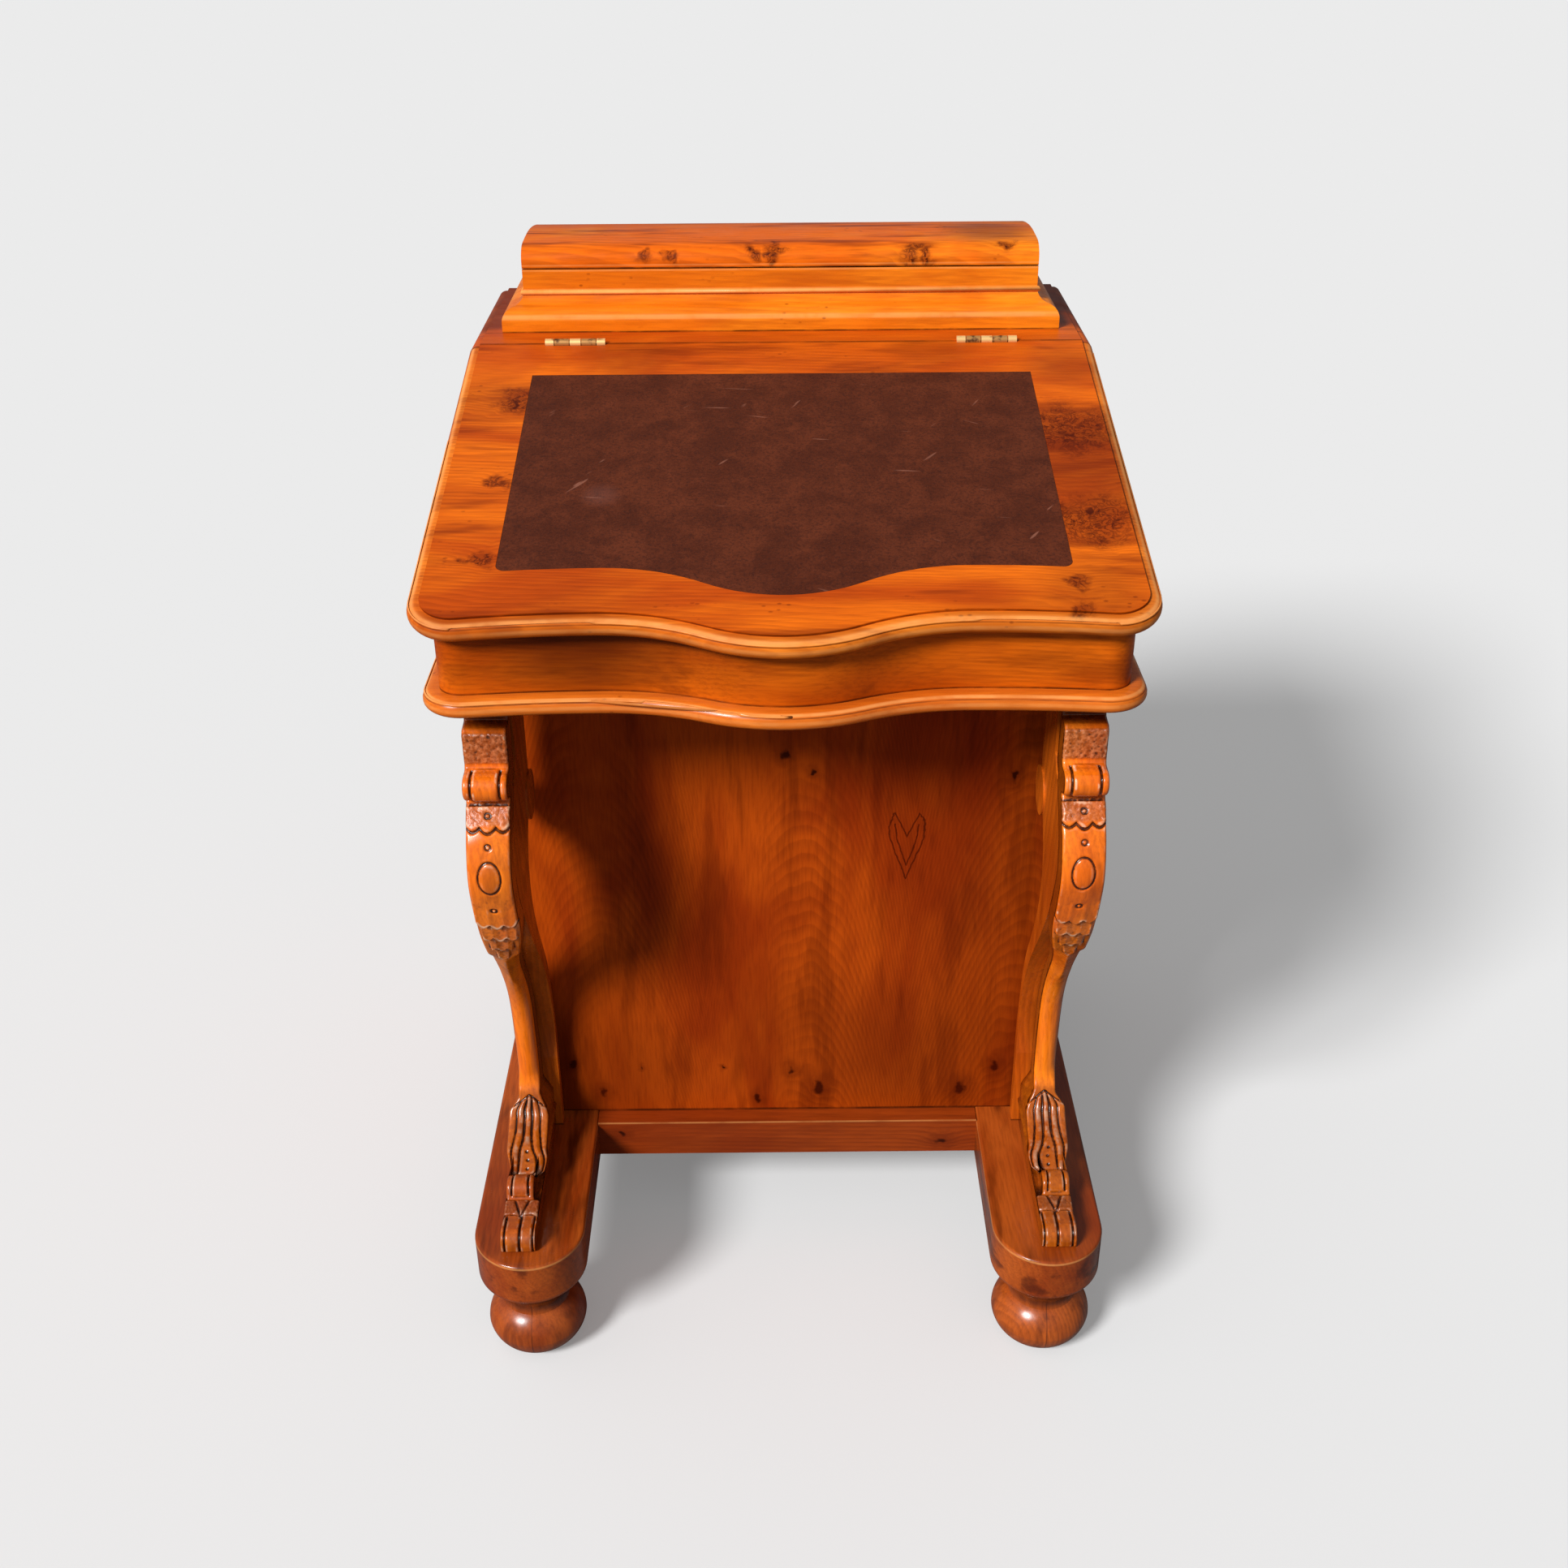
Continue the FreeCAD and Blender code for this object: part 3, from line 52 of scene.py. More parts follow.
def node_box(name):
    """The low and the high corner of a node's box, in millimetres."""
    node = nodes[name]
    corners = [node.matrix_world @ Vector(corner) / MM for corner in node.bound_box]
    return [[round(pick(values), 3) for values in zip(*corners)] for pick in (min, max)]


# ---- node materials
def linear(red, green, blue):
    """A colour written in sRGB 0-255, as the linear RGBA that shaders take."""
    channels = []
    for value in (red, green, blue):
        share = value / 255
        low = share / 12.92
        high = ((share + 0.055) / 1.055) ** 2.4
        channels.append(low if share <= 0.04045 else high)
    return (*channels, 1.0)


class Graph:
    """Adds nodes to a material or a world.  Most calls give back an output socket."""

    def __init__(self, owner):
        owner.use_nodes = True
        self.owner = owner
        self.tree = owner.node_tree
        self.tree.nodes.clear()

    def feed(self, socket, value):
        if isinstance(value, bpy.types.NodeSocket):
            self.tree.links.new(value, socket)
        else:
            socket.default_value = value

    def add(self, kind, inputs, out=0, **settings):
        node = self.tree.nodes.new("ShaderNode" + kind)
        for key, value in settings.items():
            setattr(node, key, value)
        for socket, value in inputs.items():
            self.feed(node.inputs[socket], value)
        return node.outputs[out]

    def place(self):
        """The point in the desk's own frame, which stays with a moving piece."""
        return self.add("TexCoord", {}, out=3)

    def math(self, operation, *values):
        return self.add("Math", dict(enumerate(values)), operation=operation)

    def vector(self, operation, *values):
        return self.add("VectorMath", dict(enumerate(values)), operation=operation)

    def plus(self, a, b):
        return self.math("ADD", a, b)

    def minus(self, a, b):
        return self.math("SUBTRACT", a, b)

    def times(self, a, b):
        return self.math("MULTIPLY", a, b)

    def scaled(self, at, scale):
        return self.vector("MULTIPLY", at, scale)

    def mask(self, name):
        """A 0 to 1 value that the mesh carries: see store_mask()."""
        return self.add("Attribute", {}, out=2, attribute_name=name)

    def distance(self, a, b):
        return self.add("VectorMath", {0: a, 1: b}, out=1, operation="DISTANCE")

    def dot(self, a, b):
        return self.add("VectorMath", {0: a, 1: b}, out=1, operation="DOT_PRODUCT")

    def noise(self, at, scale, detail=3.0, roughness=0.55, distortion=0.0):
        inputs = {"Vector": at, "Scale": scale, "Detail": detail, "Roughness": roughness}
        return self.add("TexNoise", {**inputs, "Distortion": distortion})

    def cells(self, at, scale):
        return self.add("TexVoronoi", {"Vector": at, "Scale": scale})

    def remap(self, value, low, high, to_low=0.0, to_high=1.0):
        inputs = {0: value, 1: low, 2: high, 3: to_low, 4: to_high}
        return self.add("MapRange", inputs, clamp=True, interpolation_type="SMOOTHSTEP")

    def blend(self, share, a, b):
        return self.add("Mix", {0: share, 6: a, 7: b}, out=2, data_type="RGBA")

    def bump(self, height, distance, strength=1.0, normal=None):
        inputs = {"Height": height, "Distance": distance, "Strength": strength}
        if normal is not None:
            inputs["Normal"] = normal
        return self.add("Bump", inputs)

    def end(self, surface, kind="Material"):
        """Ends in a surface, and gives back the material or the world."""
        out = self.tree.nodes.new("ShaderNodeOutput" + kind)
        self.tree.links.new(surface, out.inputs["Surface"])
        return self.owner

    def finish(self, **sockets):
        """Ends in one Principled shader, from socket names with _ for a space."""
        inputs = {name.replace("_", " "): value for name, value in sockets.items()}
        return self.end(self.add("BsdfPrincipled", inputs))


# how far fibres, ring sway, slow colour, cross bars and specks are stretched along the grain
FIBRE_STRETCH = 14.0
SWAY_STRETCH = 4.0
BROAD_STRETCH = 2.5
BAR_STRETCH = 7.0
PIP_STRETCH = 1.6
# the rings' fine sway, as a share of their slow one
FINE_SWAY = 0.16
AXES = {"X": (1, 0, 0), "Y": (0, 1, 0), "Z": (0, 0, 1)}
# the base rail's top front edge, without X
RAIL_LIP = (0.0, -0.1345, 0.1250)
# the lid's top plane: a point on it and its normal
LID_BREAK = (0.0, 0.1225, 0.7955)
LID_SLOPE = math.radians(12.9)
LID_NORMAL = (0.0, -math.sin(LID_SLOPE), math.cos(LID_SLOPE))


def along(grain, stretch):
    """A scale that stretches a pattern along the grain's axis."""
    return tuple(1 / stretch if on else 1.0 for on in AXES[grain])


def darker(colour, share):
    """A colour with its light taken down, which also makes it a little redder."""
    red, green, blue, alpha = colour
    return (red * share, green * share**1.25, blue * share**1.3, alpha)


def jittered(g, at, scale, reach):
    """The place moved about by noise, by up to half the reach each way."""
    wander = g.add("TexNoise", {"Vector": at, "Scale": scale}, out=1)
    wander = g.vector("SUBTRACT", wander, (0.5, 0.5, 0.5))
    return g.vector("ADD", at, g.scaled(wander, (reach, reach, reach)))


def knot_field(g, at, knots, grain):
    """How far knots push the growth rings aside, and two masks: dark core and halo."""
    squeeze = along(grain, 1.5)
    spot = g.scaled(jittered(g, at, 90.0, 0.012), squeeze)
    pull, core, halo = 0.0, 0.0, 0.0
    for x, y, z, radius in knots:
        centre = tuple(a * b for a, b in zip((x, y, z), squeeze))
        reach = g.math("DIVIDE", g.distance(spot, centre), radius)
        fall = g.math("EXPONENT", g.times(g.math("POWER", reach, 2.0), -0.7))
        pull = g.plus(g.times(fall, radius), pull)
        core = g.math("MAXIMUM", g.remap(reach, 0.25, 0.6, 1.0, 0.0), core)
        halo = g.math("MAXIMUM", g.remap(reach, 0.5, 1.7, 1.0, 0.0), halo)
    return pull, core, halo


def burr_field(g, at, burrs):
    """Mask of the swirling dark clusters of burr wood, and how far they push the rings."""
    bent = jittered(g, at, 45.0, 0.035)
    patch, pull = 0.0, 0.0
    for x, y, z, radius in burrs:
        reach = g.math("DIVIDE", g.distance(bent, (x, y, z)), radius)
        patch = g.math("MAXIMUM", g.remap(reach, 0.45, 1.25, 1.0, 0.0), patch)
        fall = g.math("EXPONENT", g.times(g.math("POWER", reach, 2.0), -0.8))
        pull = g.plus(g.times(fall, radius * 0.9), pull)
    swirl = g.noise(at, 85.0, 3.0, 0.6, 2.2)
    vein = g.remap(g.math("ABSOLUTE", g.minus(swirl, 0.52)), 0.0, 0.09, 1.0, 0.0)
    clot = g.remap(g.noise(at, 120.0, 3.0, 0.6, 1.0), 0.5, 0.66)
    dark = g.times(patch, g.math("MAXIMUM", g.times(vein, 0.75), clot))
    return dark, pull, patch


def segment_distance(g, spot, start, end):
    """How far a point on a board is from a line between two places on it."""
    span = Vector(end) - Vector(start)
    out = g.vector("SUBTRACT", spot, start)
    share = g.add("Math", {0: g.dot(out, tuple(span)), 1: 1 / span.length_squared},
                  operation="MULTIPLY", use_clamp=True)
    beside = g.add("VectorMath", {0: tuple(span), 3: share}, operation="SCALE")
    return g.add("VectorMath", {0: g.vector("SUBTRACT", out, beside)}, out=1, operation="LENGTH")


def heart_figure(g, at, x, low):
    """The small leaf-shaped figure in the panel's grain, as dark lines."""
    from_low = g.vector("SUBTRACT", at, (x, 0.0, low))
    beside = g.math("ABSOLUTE", g.add("SeparateXYZ", {0: from_low}))
    height = g.add("SeparateXYZ", {0: from_low}, out=2)
    wander = g.times(g.minus(g.noise(at, 160.0, 2.0), 0.5), 0.004)
    spot = g.add("CombineXYZ", {0: g.plus(beside, wander), 2: g.plus(height, wander)})
    outline = ((0.0, 0.0), (0.0150, 0.042), (0.0152, 0.060), (0.0105, 0.067),
               (0.0065, 0.058), (0.0, 0.043))
    inner = ((0.0, 0.014), (0.0085, 0.040), (0.0105, 0.056))
    near = 1.0
    for corners in (outline, inner):
        for a, b in zip(corners, corners[1:]):
            away = segment_distance(g, spot, (a[0], 0.0, a[1]), (b[0], 0.0, b[1]))
            near = g.math("MINIMUM", away, near)
    return g.remap(near, 0.0002, 0.0011, 1.0, 0.0)


# what marks on the wood look like, see wood(): dark for dirty joints and for painted shade,
# bright for painted highlights
MARK_TONES = {"dirt_and_shade": linear(52, 16, 4), "bright": linear(250, 178, 104)}


def carved_surface(g, at, colour, rough, normal, dark):
    """Frosted grounds between the cuts; ridges pale from wear and painted highlight; the stained
    toe, painted shadow on the neck and painted shade on the sides; and dirty cuts with painted
    shade.
    """
    frost = g.mask("frost")
    speckle = g.noise(at, 250.0, 4.0, 0.7)
    ground = g.blend(g.remap(speckle, 0.38, 0.66), linear(84, 34, 14), linear(176, 112, 76))
    colour = g.blend(g.times(frost, 0.62), colour, ground)
    # painted highlight: the crests go pale in patches, partly as wear of the polish
    crest = g.mask("crest")
    crest_patches = g.remap(g.noise(at, 90.0, 3.0, 0.6), 0.44, 0.60)
    wear_and_highlight = g.times(g.times(g.remap(crest, 0.2, 0.9), crest_patches), 0.60)
    colour = g.blend(wear_and_highlight, colour, linear(246, 206, 170))
    # painted shade: the cuts, and the sides through their hollow value, go near black, partly as
    # dirty cuts
    hollow = g.mask("hollow")
    patchy = g.remap(g.noise(at, 200.0), 0.2, 0.6, 0.75, 1.0)
    cuts_dirty_and_shaded = g.times(g.remap(hollow, 0.05, 0.6), patchy)
    # the toe's stain, the neck's painted shadow and the sides' painted shade darken the wood here
    stain_and_shade = g.times(g.mask("stain_and_shade"), patchy)
    colour = g.blend(stain_and_shade, colour, darker(dark, 0.55))
    colour = g.blend(g.times(cuts_dirty_and_shaded, 0.95), colour, darker(dark, 0.10))
    rough = g.plus(rough, g.times(frost, 0.12))
    return colour, rough, g.bump(g.times(speckle, frost), 0.0012, 0.6, normal)


def arched(g, at, first, spacing, rise, bend):
    """Cathedral figure on an upright board: arches that peak at even distances in x."""
    split = g.add("SeparateXYZ", {0: at})
    height = g.add("SeparateXYZ", {0: at}, out=2)
    beside = g.math("PINGPONG", g.minus(split, first), spacing / 2)
    peak = g.times(g.math("POWER", beside, 2.0), bend)
    return g.plus(peak, g.times(height, rise))


def lid_height(g, at):
    """How high a point is over the lid's top plane."""
    return g.dot(g.vector("SUBTRACT", at, LID_BREAK), LID_NORMAL)


def ring_lines(g, ring, rings, strength):
    """Growth rings as lines that set in softly and stop sharply."""
    saw = g.math("FRACT", g.times(ring, rings))
    line = g.times(g.remap(saw, 0.05, 0.8), g.remap(saw, 0.86, 1.0, 1.0, 0.0))
    return g.times(line, strength)


def add_pips(g, at, grain, colour, dark, share):
    """Small dark specks, in patches."""
    speck = g.cells(g.scaled(at, along(grain, PIP_STRETCH)), 190.0)
    patch = g.remap(g.noise(at, 22.0, 2.0), 0.58, 0.68)
    spot = g.times(g.remap(speck, 0.12, 0.3, 1.0, 0.0), patch)
    return g.blend(g.times(spot, share), colour, darker(dark, 0.5))


def add_marks(g, at, colour, marks):
    """Dark lines of dirty joints and of painted shade, and pale lines of painted highlight."""
    for axis, place, width, tone, share in marks:
        if axis == "lid":
            coordinate = lid_height(g, at)
        elif axis == "lip":
            coordinate = g.distance(g.scaled(at, (0.0, 1.0, 1.0)), RAIL_LIP)
        else:
            coordinate = g.add("SeparateXYZ", {0: at}, out="XYZ".index(axis))
        away = g.math("ABSOLUTE", g.minus(coordinate, place))
        patchy = g.remap(g.noise(at, 30.0, 3.0, 0.7), 0.3, 0.6, 0.5, 1.0)
        near = g.times(g.remap(away, width * 0.3, width, share, 0.0), patchy)
        colour = g.blend(near, colour, MARK_TONES[tone])
    return colour


def polish(g, at, fibre, line, gloss):
    """Roughness and relief of polished wood with an uneven rub."""
    rub = g.noise(at, 38.0, 4.0, 0.65)
    rough = g.remap(rub, 0.3, 0.7, gloss - 0.06, gloss + 0.08)
    rough = g.plus(rough, g.times(line, 0.08))
    relief = g.plus(g.times(fibre, 0.6), g.times(line, -0.5))
    grained = g.bump(relief, 0.00010, 0.5)
    return rough, g.bump(g.noise(at, 26.0, 2.0), 0.0010, 0.3, grained)


def wood(name, grain, across, tones, rings, wave, ring_depth, knots=(), burrs=(), arches=None,
         heart=None, bead_tones=None, carved=False, patches=(), marks=(), gloss=0.34,
         shine=0.10, pips=0.0, mottle=0.6, bars=0.25, faint=0.25):
    """Polished wood: growth rings, fibres, slow colour change, knots, burrs, dirty joints,
    painted shade and painted highlights.

    tones: dark line, body and light colours.  across: direction that the rings step in.
    rings: lines to a metre.  wave: how far they sway.  ring_depth: how dark they are.
    arches: (first peak's x, spacing, rise, bend) of cathedral figure on an upright board.
    bead_tones: the same three colours for a lid's bead, which lies under its top plane.
    carved: frosting, the stained toe, painted shadow on the neck, painted shade in the cuts
    (partly dirty) and on the sides, and ridges pale with wear and painted highlight, where the
    mesh says that its carving has them.
    patches: (x, y, z, radius, share) of darker places; those on the frieze and the box's sides
    are painted shade.
    marks: (axis, place, half width, tone, share) of lines: dark ones at dirty joints and as
    painted shade in grooves, crevices and under rounds, pale ones as painted highlights along
    edges and rounds.  The axis "lid" is the height over the lid's top plane, and
    "lip" is the distance from the top front edge of the runners and the base rail.
    pips, mottle, bars, faint: shares of specks, slow change, cross bars and faintest rings.
    """
    dark, body, light = tones
    g = Graph(bpy.data.materials.new(name))
    at = g.place()
    long, half_long, broad, barred = (
        g.scaled(at, along(grain, stretch))
        for stretch in (FIBRE_STRETCH, SWAY_STRETCH, BROAD_STRETCH, BAR_STRETCH)
    )
    sway = g.minus(g.noise(half_long, 9.0, 2.0, 0.5, 0.6), 0.5)
    fine_sway = g.minus(g.noise(half_long, 45.0, 2.0), 0.5)
    ring = arched(g, at, *arches) if arches else g.dot(at, across)
    ring = g.plus(ring, g.times(sway, wave))
    ring = g.plus(ring, g.times(fine_sway, wave * FINE_SWAY))
    if knots:
        pull, core, halo = knot_field(g, at, knots, grain)
        ring = g.plus(ring, pull)
    if burrs:
        burr_dark, burr_pull, burr_patch = burr_field(g, at, burrs)
        ring = g.plus(ring, burr_pull)
    strength = g.remap(g.noise(half_long, 8.0, 2.0), 0.38, 0.62, faint, 1.0)
    line = g.times(ring_lines(g, ring, rings, strength), ring_depth)
    fibre = g.noise(long, 520.0, 3.0, 0.6)
    slow = g.remap(g.noise(broad, 9.0, 3.0, 0.6, 0.8), 0.36, 0.64)
    bar = g.remap(g.noise(barred, 48.0, 3.0, 0.6), 0.5, 0.68)

    def coloured(line_colour, low_colour, high_colour):
        made = g.blend(g.times(slow, mottle), low_colour, high_colour)
        made = g.blend(g.times(bar, bars), made, line_colour)
        made = g.blend(line, made, line_colour)
        return g.blend(g.remap(fibre, 0.42, 0.66, 0.0, 0.22), made, line_colour)

    colour = coloured(dark, body, light)
    if bead_tones is not None:
        is_bead = g.remap(lid_height(g, at), -0.0024, -0.0021, 1.0, 0.0)
        colour = g.blend(is_bead, colour, coloured(*bead_tones))
    if burrs:
        warm = g.blend(g.times(burr_patch, 0.6), colour, dark)
        colour = g.blend(g.times(burr_dark, 0.95), warm, darker(dark, 0.25))
    if knots:
        colour = g.blend(g.times(halo, 0.4), colour, dark)
        colour = g.blend(g.times(core, 0.9), colour, darker(dark, 0.2))
    if heart is not None:
        drawn = heart_figure(g, at, *heart)
        colour = g.blend(g.times(drawn, 0.75), colour, darker(dark, 0.35))
    if pips:
        colour = add_pips(g, at, grain, colour, dark, pips)
    for x, y, z, radius, share in patches:
        near = g.remap(g.distance(at, (x, y, z)), radius * 0.25, radius, share, 0.0)
        colour = g.blend(near, colour, darker(dark, 0.55))
    colour = add_marks(g, at, colour, marks)
    rough, relief = polish(g, at, fibre, line, gloss)
    if carved:
        colour, rough, relief = carved_surface(g, at, colour, rough, relief, dark)
    return g.finish(
        Base_Color=colour, Roughness=rough, Normal=relief, Specular_IOR_Level=shine
    )


def leather_material():
    """Old writing leather, gone mottled brown: fine pebble and scuffs."""
    g = Graph(bpy.data.materials.new("leather"))
    at = g.place()
    mottle = g.noise(at, 30.0, 6.0, 0.7, 0.3)
    speckle = g.noise(at, 420.0, 3.0, 0.65)
    colour = g.blend(g.remap(mottle, 0.36, 0.66), linear(74, 30, 14), linear(94, 42, 22))
    colour = g.blend(g.remap(speckle, 0.42, 0.7, 0.0, 0.6), colour, linear(48, 20, 14))
    fine = g.cells(at, 700.0)
    colour = g.blend(g.remap(fine, 0.05, 0.3, 0.35, 0.0), colour, linear(122, 66, 48))
    for turn, scale in ((0.5, 150.0), (-0.9, 120.0), (0.1, 190.0)):
        turned = g.add("VectorRotate", {0: at, 3: turn}, rotation_type="Z_AXIS")
        streak_at = g.scaled(turned, (0.07, 1.0, 1.0))
        streak = g.remap(g.noise(streak_at, scale, 2.0, 0.5), 0.71, 0.76)
        patch = g.remap(g.noise(g.vector("ADD", at, (turn, 0.0, 0.0)), 14.0, 2.0), 0.52, 0.62)
        scuff = g.times(g.times(streak, patch), 0.45)
        colour = g.blend(scuff, colour, linear(160, 104, 84))
    smudge = g.remap(g.distance(at, (-0.1423, -0.1112, 0.7420)), 0.004, 0.02, 0.12, 0.0)
    colour = g.blend(smudge, colour, linear(150, 100, 90))
    relief = g.plus(g.times(fine, 0.7), g.times(speckle, 0.6))
    grained = g.bump(relief, 0.00022, 0.5)
    cockled = g.bump(g.noise(at, 24.0, 2.0), 0.002, 0.25, grained)
    rough = g.remap(mottle, 0.3, 0.7, 0.42, 0.55)
    return g.finish(
        Base_Color=colour, Roughness=rough, Normal=cockled, Specular_IOR_Level=0.12
    )


def brass_material(name, bright, dull):
    """Aged brass with tarnish in patches."""
    g = Graph(bpy.data.materials.new(name))
    at = g.place()
    tarnish = g.remap(g.noise(at, 110.0, 4.0, 0.6), 0.50, 0.66)
    colour = g.blend(tarnish, bright, dull)
    rough = g.plus(0.34, g.times(tarnish, 0.2))
    brushed = g.scaled(at, (0.05, 1.0, 1.0))
    scratch = g.bump(g.noise(brushed, 2600.0, 2.0), 0.00004, 0.5)
    return g.finish(Base_Color=colour, Metallic=0.55, Roughness=rough, Normal=scratch)


def plain_wood(name, grain, body, dark):
    """Unpolished inside wood: fibres and faint rings."""
    return wood(name, grain, (0.31, 0.4, 0.86), (dark, body, body), 120.0, 0.03, 0.3,
                gloss=0.6)


# ---- finishes of the nodes
# burrs and knots are (x, y, z, radius) in metres; patches and marks are told in wood()
LID_BURRS = (
    (-0.2201, 0.0265, 0.7735, 0.022), (-0.2265, -0.0933, 0.7461, 0.009),
    (-0.2268, -0.1942, 0.7230, 0.014), (0.2363, -0.0238, 0.7620, 0.040),
    (0.2351, -0.1489, 0.7333, 0.037), (0.2147, -0.2296, 0.7149, 0.011),
    (0.2140, -0.2562, 0.7088, 0.012),
)
TOP_BURRS = (
    (-0.1167, 0.1800, 0.8606, 0.007), (-0.1020, 0.1800, 0.8600, 0.006),
    (-0.0226, 0.1820, 0.8640, 0.010), (-0.0040, 0.1840, 0.8600, 0.010),
    (0.1185, 0.1800, 0.8590, 0.010), (0.1331, 0.1800, 0.8560, 0.008),
    (0.2000, 0.1850, 0.8620, 0.010),
)
PANEL_FACE = -0.1155
PANEL_KNOTS = tuple((x, PANEL_FACE, z, radius) for x, z, radius in (
    (0.0233, 0.4956, 0.005), (-0.0007, 0.5116, 0.007), (0.0043, 0.1723, 0.007),
    (-0.0283, 0.1391, 0.008), (0.0311, 0.1503, 0.012), (0.1636, 0.1488, 0.011),
    (0.1954, 0.1730, 0.009), (-0.1729, 0.1478, 0.008), (-0.2014, 0.1824, 0.007),
    (-0.1369, 0.1768, 0.003), (-0.0606, 0.1759, 0.003), (0.1950, 0.4890, 0.008),
))
HEART_PLACE = (0.1055, 0.386)
PANEL_PATCHES = (
    (0.225, PANEL_FACE, 0.36, 0.15, 0.40),
    (0.170, PANEL_FACE, 0.17, 0.16, 0.45),
    (0.020, PANEL_FACE, 0.20, 0.13, 0.28),
    (-0.190, PANEL_FACE, 0.17, 0.14, 0.45),
)
PANEL_MARKS = (("Z", 0.1250, 0.0022, "dirt_and_shade", 0.85), ("Z", 0.6260, 0.0030, "dirt_and_shade", 0.8))
# on the bead, under the lid's top plane: a dark line at its step, pale lines of painted highlight
# along its rounds, and dark lines of painted shade in its groove and under it; the Y line is the
# joint with the top board
LID_MARKS = (
    ("lid", -0.0014, 0.0010, "dirt_and_shade", 0.75),
    ("lid", -0.0036, 0.0012, "bright", 0.45),
    ("lid", -0.0056, 0.0006, "dirt_and_shade", 0.55),
    ("lid", -0.0100, 0.0026, "bright", 0.22),
    ("lid", -0.0170, 0.0020, "dirt_and_shade", 0.45),
    ("Y", 0.1225, 0.0030, "dirt_and_shade", 0.60),
)
TOP_MARKS = (("Y", 0.1225, 0.0022, "dirt_and_shade", 0.60), ("Y", 0.1572, 0.0020, "dirt_and_shade", 0.50))
# pale lines of painted highlight on the moulding's fillet and round, and dark lines of painted
# shade under the fillet and along its lower edge
MOULDING_MARKS = (
    ("Z", 0.6382, 0.0012, "bright", 0.45),
    ("Z", 0.6364, 0.0006, "dirt_and_shade", 0.60),
    ("Z", 0.6325, 0.0022, "bright", 0.22),
    ("Z", 0.6268, 0.0014, "dirt_and_shade", 0.45),
)
FRIEZE_MARKS = (("Z", 0.6404, 0.0016, "dirt_and_shade", 0.8),)
# dark lines at the joints under the box and under its lid; pale lines of painted highlight on the
# ogee, on the bead and along the top edge
BOX_MARKS = (
    ("Z", 0.7958, 0.0009, "dirt_and_shade", 0.85),
    ("Z", 0.8085, 0.0030, "bright", 0.40),
    ("Z", 0.8266, 0.0036, "bright", 0.60),
    ("Z", 0.8455, 0.0012, "bright", 0.35),
    ("Z", 0.8468, 0.0006, "dirt_and_shade", 0.6),
)
# a dark joint at the panel, and a pale line of painted highlight along the rail's top front edge
RAIL_MARKS = (
    ("Y", -0.1158, 0.0016, "dirt_and_shade", 0.75),
    ("lip", 0.0, 0.0016, "bright", 0.30),
)
# a pale line of painted highlight along the runners' top edge, and a dark joint over the feet
RUNNER_MARKS = (("Z", 0.1225, 0.0014, "bright", 0.30), ("Z", 0.0792, 0.0016, "dirt_and_shade", 0.6))
WEB_MARKS = (("Z", 0.1254, 0.0020, "dirt_and_shade", 0.8),)
# the Z line is painted shade: the feet's necks darkened under the runners; the X lines are the
# seams of the glued-up feet
FOOT_MARKS = (
    ("Z", 0.0640, 0.0170, "dirt_and_shade", 0.92),
    ("X", -0.2275, 0.0007, "dirt_and_shade", 0.80),
    ("X", 0.2275, 0.0007, "dirt_and_shade", 0.60),
)
# a dark joint at the lid's foot, and a pale line of painted highlight along its lower edge
STATIONERY_LID_MARKS = (
    ("Z", 0.8478, 0.0008, "dirt_and_shade", 0.7),
    ("Z", 0.8500, 0.0010, "bright", 0.25),
)
# painted shade on the frieze and the box's sides: darker at the left and centre-left under the
# lid's overhang, and on the right side towards the back
FRIEZE_PAINTED_SHADE = (
    (-0.262, -0.200, 0.70, 0.07, 0.55),
    (-0.150, -0.240, 0.70, 0.10, 0.80),
    (-0.060, -0.260, 0.70, 0.08, 0.35),
    (0.262, 0.050, 0.70, 0.20, 0.40),
)
LID_PATCHES = (
    (0.250, -0.070, 0.750, 0.11, 0.45),
    (-0.130, 0.105, 0.791, 0.06, 0.35),
    (0.130, 0.110, 0.792, 0.05, 0.30),
    (0.225, -0.240, 0.712, 0.06, 0.35),
    (0.150, -0.275, 0.700, 0.07, 0.20),
    (-0.150, -0.250, 0.705, 0.08, 0.15),
    (-0.245, 0.030, 0.774, 0.06, 0.25),
    (0.245, 0.080, 0.785, 0.05, 0.35),
)
STATIONERY_PATCHES = ((0.190, 0.230, 0.866, 0.060, 0.60),)
TOP_PATCHES = tuple(
    (side * 0.262, y, 0.7955, 0.036, 0.80) for side in (-1, 1) for y in (0.19, 0.23, 0.27, 0.31)
)
RAIL_KNOTS = ((-0.158, -0.1345, 0.112, 0.007), (0.146, -0.1345, 0.100, 0.009))


